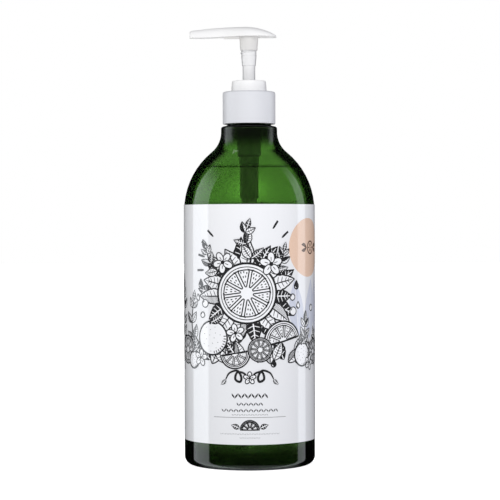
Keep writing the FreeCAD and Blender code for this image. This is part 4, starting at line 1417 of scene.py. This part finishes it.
@dataclass
class Head:
    """The pump's head: crowned saddle and spout, hollow underneath, with boss and duct. Millimetres."""

    tip: float = sized("pump_head")[0].x
    tail: float = sized("pump_head")[1].x
    crest_top: float = sized("pump_head")[1].z
    skirt_low: float = sized("pump_head")[0].z
    crest: float = -2.6
    crest_height: float = 5.6
    tip_drop: float = 2.3
    tail_drop: float = 5.2
    spout_drop: float = 0.7
    spout_bend_front: float = -26.0
    spout_bend_back: float = -8.0
    tail_lip: float = 4.0
    tail_lip_drop: float = 0.4
    wall: float = 1.3
    hollow_front: float = -14.0
    duct_radius: float = 1.5
    duct_level: float = 1.35
    end_edge: float = 1.0
    section_steps: int = 32
    power: float = 3.4

    def __post_init__(self) -> None:
        """Works out the base level and the outline seen from above."""
        self.base = self.crest_top - self.crest_height
        front = [(self.tip, 0.0), (self.tip, 3.4, 1.2), (-13.0, 4.4, 26.0)]
        back = [(1.5, 9.3, 24.0), (self.tail, 6.3, 6.8), (self.tail, 0.0)]
        self.plan = rounded(front + back)

    def top_at(self, x: float) -> float:
        """The level of the head's top."""
        foot, drop = (self.tip, self.tip_drop) if x < self.crest else (self.tail, self.tail_drop)
        reach = foot - self.crest
        radius = (reach * reach + drop * drop) / (2 * drop)
        return self.crest_top - radius + math.sqrt(radius * radius - (x - self.crest) ** 2)

    def floor_at(self, x: float) -> float:
        """The level of the head's underside."""
        front = (self.spout_bend_back - x) / (self.spout_bend_back - self.spout_bend_front)
        back = (x - self.tail + self.tail_lip) / self.tail_lip
        drop = self.spout_drop * min(1.0, max(0.0, front)) + self.tail_lip_drop * min(1.0, max(0.0, back))
        return self.base - drop

    def half_at(self, x: float) -> float:
        """Half the head's width."""
        x = min(max(x, self.tip + 1e-4), self.tail - 1e-4)
        for a, b in zip(self.plan, self.plan[1:]):
            if a[0] <= x <= b[0] and b[0] - a[0] > 1e-6:
                return a[1] + (b[1] - a[1]) * (x - a[0]) / (b[0] - a[0])
        return 0.0

    def arch(self, x: float, half: float, low: float, high: float) -> list[Vector]:
        """A crowned section from its foot at +Y over the top to its foot at -Y."""
        points = []
        for k in range(self.section_steps + 1):
            angle = math.pi * k / self.section_steps
            c, s = math.cos(angle), math.sin(angle)
            y = math.copysign(abs(c) ** (2 / self.power), c) * half
            z = low + abs(s) ** (2 / self.power) * (high - low)
            points.append(Vector((x, y, z)))
        return points

    def stations(self) -> list[float]:
        """Where along X the sections stand: dense at both ends and at the hollow's front."""
        length = self.tail - self.tip
        places = [self.tip + length * (1 - math.cos(math.pi * k / 90)) / 2 for k in range(91)]
        near = [self.tip + self.end_edge * k / 6 for k in range(7)]
        near += [self.hollow_front - 0.02, self.hollow_front + 0.02, self.tail - self.wall - 0.02]
        near += [self.tail - self.wall + 0.02, self.tail - 0.05]
        return sorted(set(places + near))

    def section(self, x: float) -> list[Vector]:
        """One closed section: the outer arch, then the hollow's arch back, or a flat underside."""
        low, high, half = self.floor_at(x), self.top_at(x), self.half_at(x)
        near = min(x - self.tip, self.tail - x)
        if near < self.end_edge:
            high -= self.end_edge - math.sqrt(max(0.0, self.end_edge**2 - (self.end_edge - near) ** 2))
        outer = self.arch(x, half, low, high)
        hollow = self.hollow_front < x < self.tail - self.wall
        if hollow:
            inner = self.arch(x, max(0.3, half - self.wall), low, max(low + 0.2, high - self.wall))
        else:
            share = max(0.1, half - 0.3) / half
            inner = [Vector((x, share * p.y, low)) for p in outer]
        return outer + inner[::-1]

    def make_shell(self) -> None:
        """The saddle and spout with the spout's hole."""
        shape = Moulding()
        rows = [self.section(x) for x in self.stations()]
        shape.grid(rows, wrap=True)
        count = len(rows[0])
        duct = Vector((self.tip, 0.0, self.base + self.duct_level))
        rim = rows[0]
        mouth = []
        for point in rim:
            away = Vector((0.0, point.y, point.z - duct.z)).normalized()
            mouth.append(duct + away * self.duct_radius)
        depth = Vector((20.0, 0.0, 0.0))
        deep = [p + depth for p in mouth]
        lead = [p.lerp(q, 0.985) for p, q in zip(rim, mouth)]
        edge = [p + Vector((0.15, 0.0, 0.0)) for p in mouth]
        shape.grid([rim, lead, mouth, edge, deep, [duct + depth] * count], wrap=True)
        tail_middle = Vector((self.tail, 0.0, self.base + 0.1))
        shape.grid([rows[-1], [tail_middle] * count], wrap=True)
        head = shape.piece("head_saddle", 50.0)
        fitted(head, Finish.HEAD_WHITE, "head", "white_plastic", "pump_head")

    def make_boss(self) -> None:
        """The skirt that takes the stem, rising into the hollow, with the duct that runs to the spout."""
        roof = self.base + self.crest_height - self.wall
        plug_top = self.skirt_low + 6.1
        outline = rounded([
            (3.43, self.skirt_low, 0.2),
            (5.0, self.skirt_low, 0.25),
            (5.55, self.base),
            (5.55, roof),
            (0.0, roof),
            (0.0, self.base + self.duct_level + self.duct_radius),
            (2.0, self.base + self.duct_level + self.duct_radius),
            (2.0, plug_top),
            (3.43, plug_top),
        ])
        shape = Moulding().turned(outline, 96)
        middle = Vector((0.0, 0.0, self.base + self.duct_level))
        rows = []
        for x in (self.hollow_front - 0.5, -4.5):
            around = [heading(10 * k) * 2.6 for k in range(36)]
            rows.append([middle + Vector((x, p.x, p.y)) for p in around])
        shape.grid(rows, wrap=True)
        for row in rows:
            self.close(shape, row)
        # The boss is the head's plastic, darkened by painted shade.
        fitted(shape.piece("head_boss"), Finish.SKIRT_WHITE, "head", "white_plastic", "pump_head")

    @staticmethod
    def close(shape: Moulding, row: Sequence[Vector]) -> None:
        """Closes a tube's end with a fan of faces."""
        middle = sum(row, Vector()) / len(row)
        shape.grid([list(row), [middle] * len(row)], wrap=True)


# The studio


@dataclass
class Softbox:
    """A rectangular soft light that faces a point on the bottle's axis. Metres and degrees."""

    name: str
    azimuth: float
    distance: float
    level: float
    size: Flat
    energy: float
    colour: Colour
    aim_level: float = 0.12

    def made(self) -> bpy.types.Object:
        """The light, which shows in no reflection. Azimuth 0 is the camera's side, +X is above 0."""
        lamp = bpy.data.lights.new(self.name, "AREA")
        lamp.shape = "RECTANGLE"
        lamp.size, lamp.size_y = self.size
        lamp.energy = self.energy
        lamp.color = self.colour
        light = bpy.data.objects.new(self.name, lamp)
        angle = math.radians(self.azimuth)
        light.location = (math.sin(angle) * self.distance, -math.cos(angle) * self.distance, self.level)
        aim = Vector((0.0, 0.0, self.aim_level)) - light.location
        light.rotation_euler = aim.to_track_quat("-Z", "Y").to_euler()
        for rays in ("camera", "glossy", "transmission"):
            setattr(light, "visible_" + rays, False)
        bpy.context.scene.collection.objects.link(light)
        return light


@dataclass
class Studio:
    """Camera, floor, soft lights and surroundings. Metres and degrees."""

    camera_place: tuple[float, float, float] = (0.00035, -1.082, 0.1379)
    lens: float = 133.0
    tilt: float = -0.68
    roll: float = -0.155
    floor_reach: float = 6.0
    glow: float = 1.0
    glow_spot: float = 1.2
    left_strip: Flat = (-117.0, -77.0)
    right_strip: Flat = (94.0, 115.0)
    left_glow: float = 1.6
    right_glow: float = 1.25
    ground_glow: float = 0.5
    dark: float = 0.004
    left_soft: Colour = (0.61, 0.61, 0.61)
    right_soft: Colour = (0.46, 0.46, 0.5)
    ground_soft: Colour = (1.7, 1.7, 1.7)
    white: Colour = (1.0, 1.0, 1.0)

    def make_camera(self) -> None:
        """The camera at the photograph's angle."""
        data = bpy.data.cameras.new("camera")
        data.lens = self.lens
        data.sensor_width = 36.0
        camera = bpy.data.objects.new("camera", data)
        camera.rotation_mode = "ZXY"
        camera.location = self.camera_place
        camera.rotation_euler = (math.radians(90 + self.tilt), 0.0, 0.0)
        camera.rotation_euler.rotate_axis("Z", math.radians(self.roll))
        bpy.context.scene.collection.objects.link(camera)
        bpy.context.scene.camera = camera
        bpy.context.scene.view_settings.view_transform = "Standard"

    def make_floor(self) -> None:
        """A wide pale floor that keeps a faint shadow."""
        mesh = bpy.data.meshes.new("floor")
        reach = self.floor_reach
        corners = [(-reach, -reach, 0), (reach, -reach, 0), (reach, reach, 0), (-reach, reach, 0)]
        mesh.from_pydata(corners, [], [(0, 1, 2, 3)])
        floor = bpy.data.objects.new("floor", mesh)
        bpy.context.scene.collection.objects.link(floor)
        material = bpy.data.materials.new("pale_floor")
        graph = Graph(material)
        cloud = graph.noise(6.0)
        graph.surface({
            "Base Color": graph.blend(cloud, (0.88, 0.88, 0.88), (0.9, 0.9, 0.9)),
            "Roughness": 0.9,
            "Emission Color": (1.0, 1.0, 1.0),
            "Emission Strength": 0.85,
        })
        mesh.materials.append(material)
        for rays in ("diffuse", "shadow", "glossy", "transmission"):
            setattr(floor, "visible_" + rays, False)

    def make_world(self) -> None:
        """White surroundings: dark in reflections but for strips and ground, glowing through the bottle."""
        world = bpy.data.worlds.new("studio")
        bpy.context.scene.world = world
        graph = Graph(world)
        path = graph.add("ShaderNodeLightPath", {}, {})
        direction = graph.add("ShaderNodeTexCoord", {}, {}).outputs["Generated"]
        x, y, z = (graph.axis(direction, name) for name in "XYZ")
        flat = (x * x + y * y).at_least(0.0001)
        across = x * y * 2.0 / flat
        spot = across.bell(0.0, 0.21) * z.bell(-0.139, 0.07)
        through = self.grey(graph, spot * self.glow_spot + self.glow)
        azimuth = x.combined("ARCTAN2", x, y * -1.0)
        left = self.strip(azimuth, self.left_strip) * self.left_glow
        right = self.strip(azimuth, self.right_strip) * self.right_glow
        strips = (left + right) * z.rising(0.8, 0.35)
        mirrored = self.grey(graph, strips + z.rising(-0.57, -0.87) * self.ground_glow + self.dark, 0.05)
        soft = graph.blend(x.rising(-1.0, 1.0), self.left_soft, self.right_soft)
        soft = graph.blend(z.rising(-0.35, -0.75), soft, self.ground_soft)
        shade = soft
        for rays, seen in (("Glossy", mirrored), ("Transmission", through), ("Camera", self.white)):
            shade = graph.blend(Signal(graph, path.outputs[f"Is {rays} Ray"]), shade, seen)
        background = graph.add("ShaderNodeBackground", {}, {"Color": shade})
        graph.add("ShaderNodeOutputWorld", {}, {"Surface": background.outputs[0]})

    @staticmethod
    def strip(azimuth: Signal, edges: Flat) -> Signal:
        """A soft-edged band between two azimuths in degrees: 0 is the camera's side, +X is above 0."""
        first, last = (math.radians(edge) for edge in edges)
        soft = math.radians(2.0)
        return azimuth.rising(first - soft, first + soft) * azimuth.rising(last + soft, last - soft)

    @staticmethod
    def grey(graph: Graph, value: Signal, cool: float = 0.0) -> bpy.types.NodeSocket:
        """A grey of a value, which can lean a share towards blue."""
        parts = {0: value * (1.0 - cool), 1: value, 2: value * (1.0 + cool)}
        return graph.add("ShaderNodeCombineColor", {}, parts).outputs[0]

    def make_lights(self) -> None:
        """A soft front light and a weaker one from behind."""
        Softbox("front", 6.0, 1.2, 0.5, (0.9, 0.9), 8.0, self.white).made()
        Softbox("back", -168.0, 1.2, 0.5, (0.9, 0.9), 5.0, self.white).made()


def main() -> None:
    """Builds the studio and every piece, and reports each."""
    logging.basicConfig(level=logging.INFO, format="%(message)s")
    studio = Studio()
    studio.make_camera()
    studio.make_floor()
    studio.make_world()
    studio.make_lights()
    vessel = Vessel()
    vessel.make_bottle()
    vessel.make_soap()
    label = Label()
    label.make_sheet()
    label.make_print()
    pump = Pump()
    pump.make_closure()
    pump.make_collar()
    pump.make_gasket()
    pump.make_housing()
    pump.make_tube()
    pump.make_piston()
    pump.make_spring()
    pump.make_stem()
    pump.make_ball("inlet_ball", Finish.STEEL, "ball_steel")
    pump.make_ball("outlet_ball", Finish.BALL_GLASS, "ball_glass")
    head = Head()
    head.make_shell()
    head.make_boss()


if __name__ == "__main__":
    main()
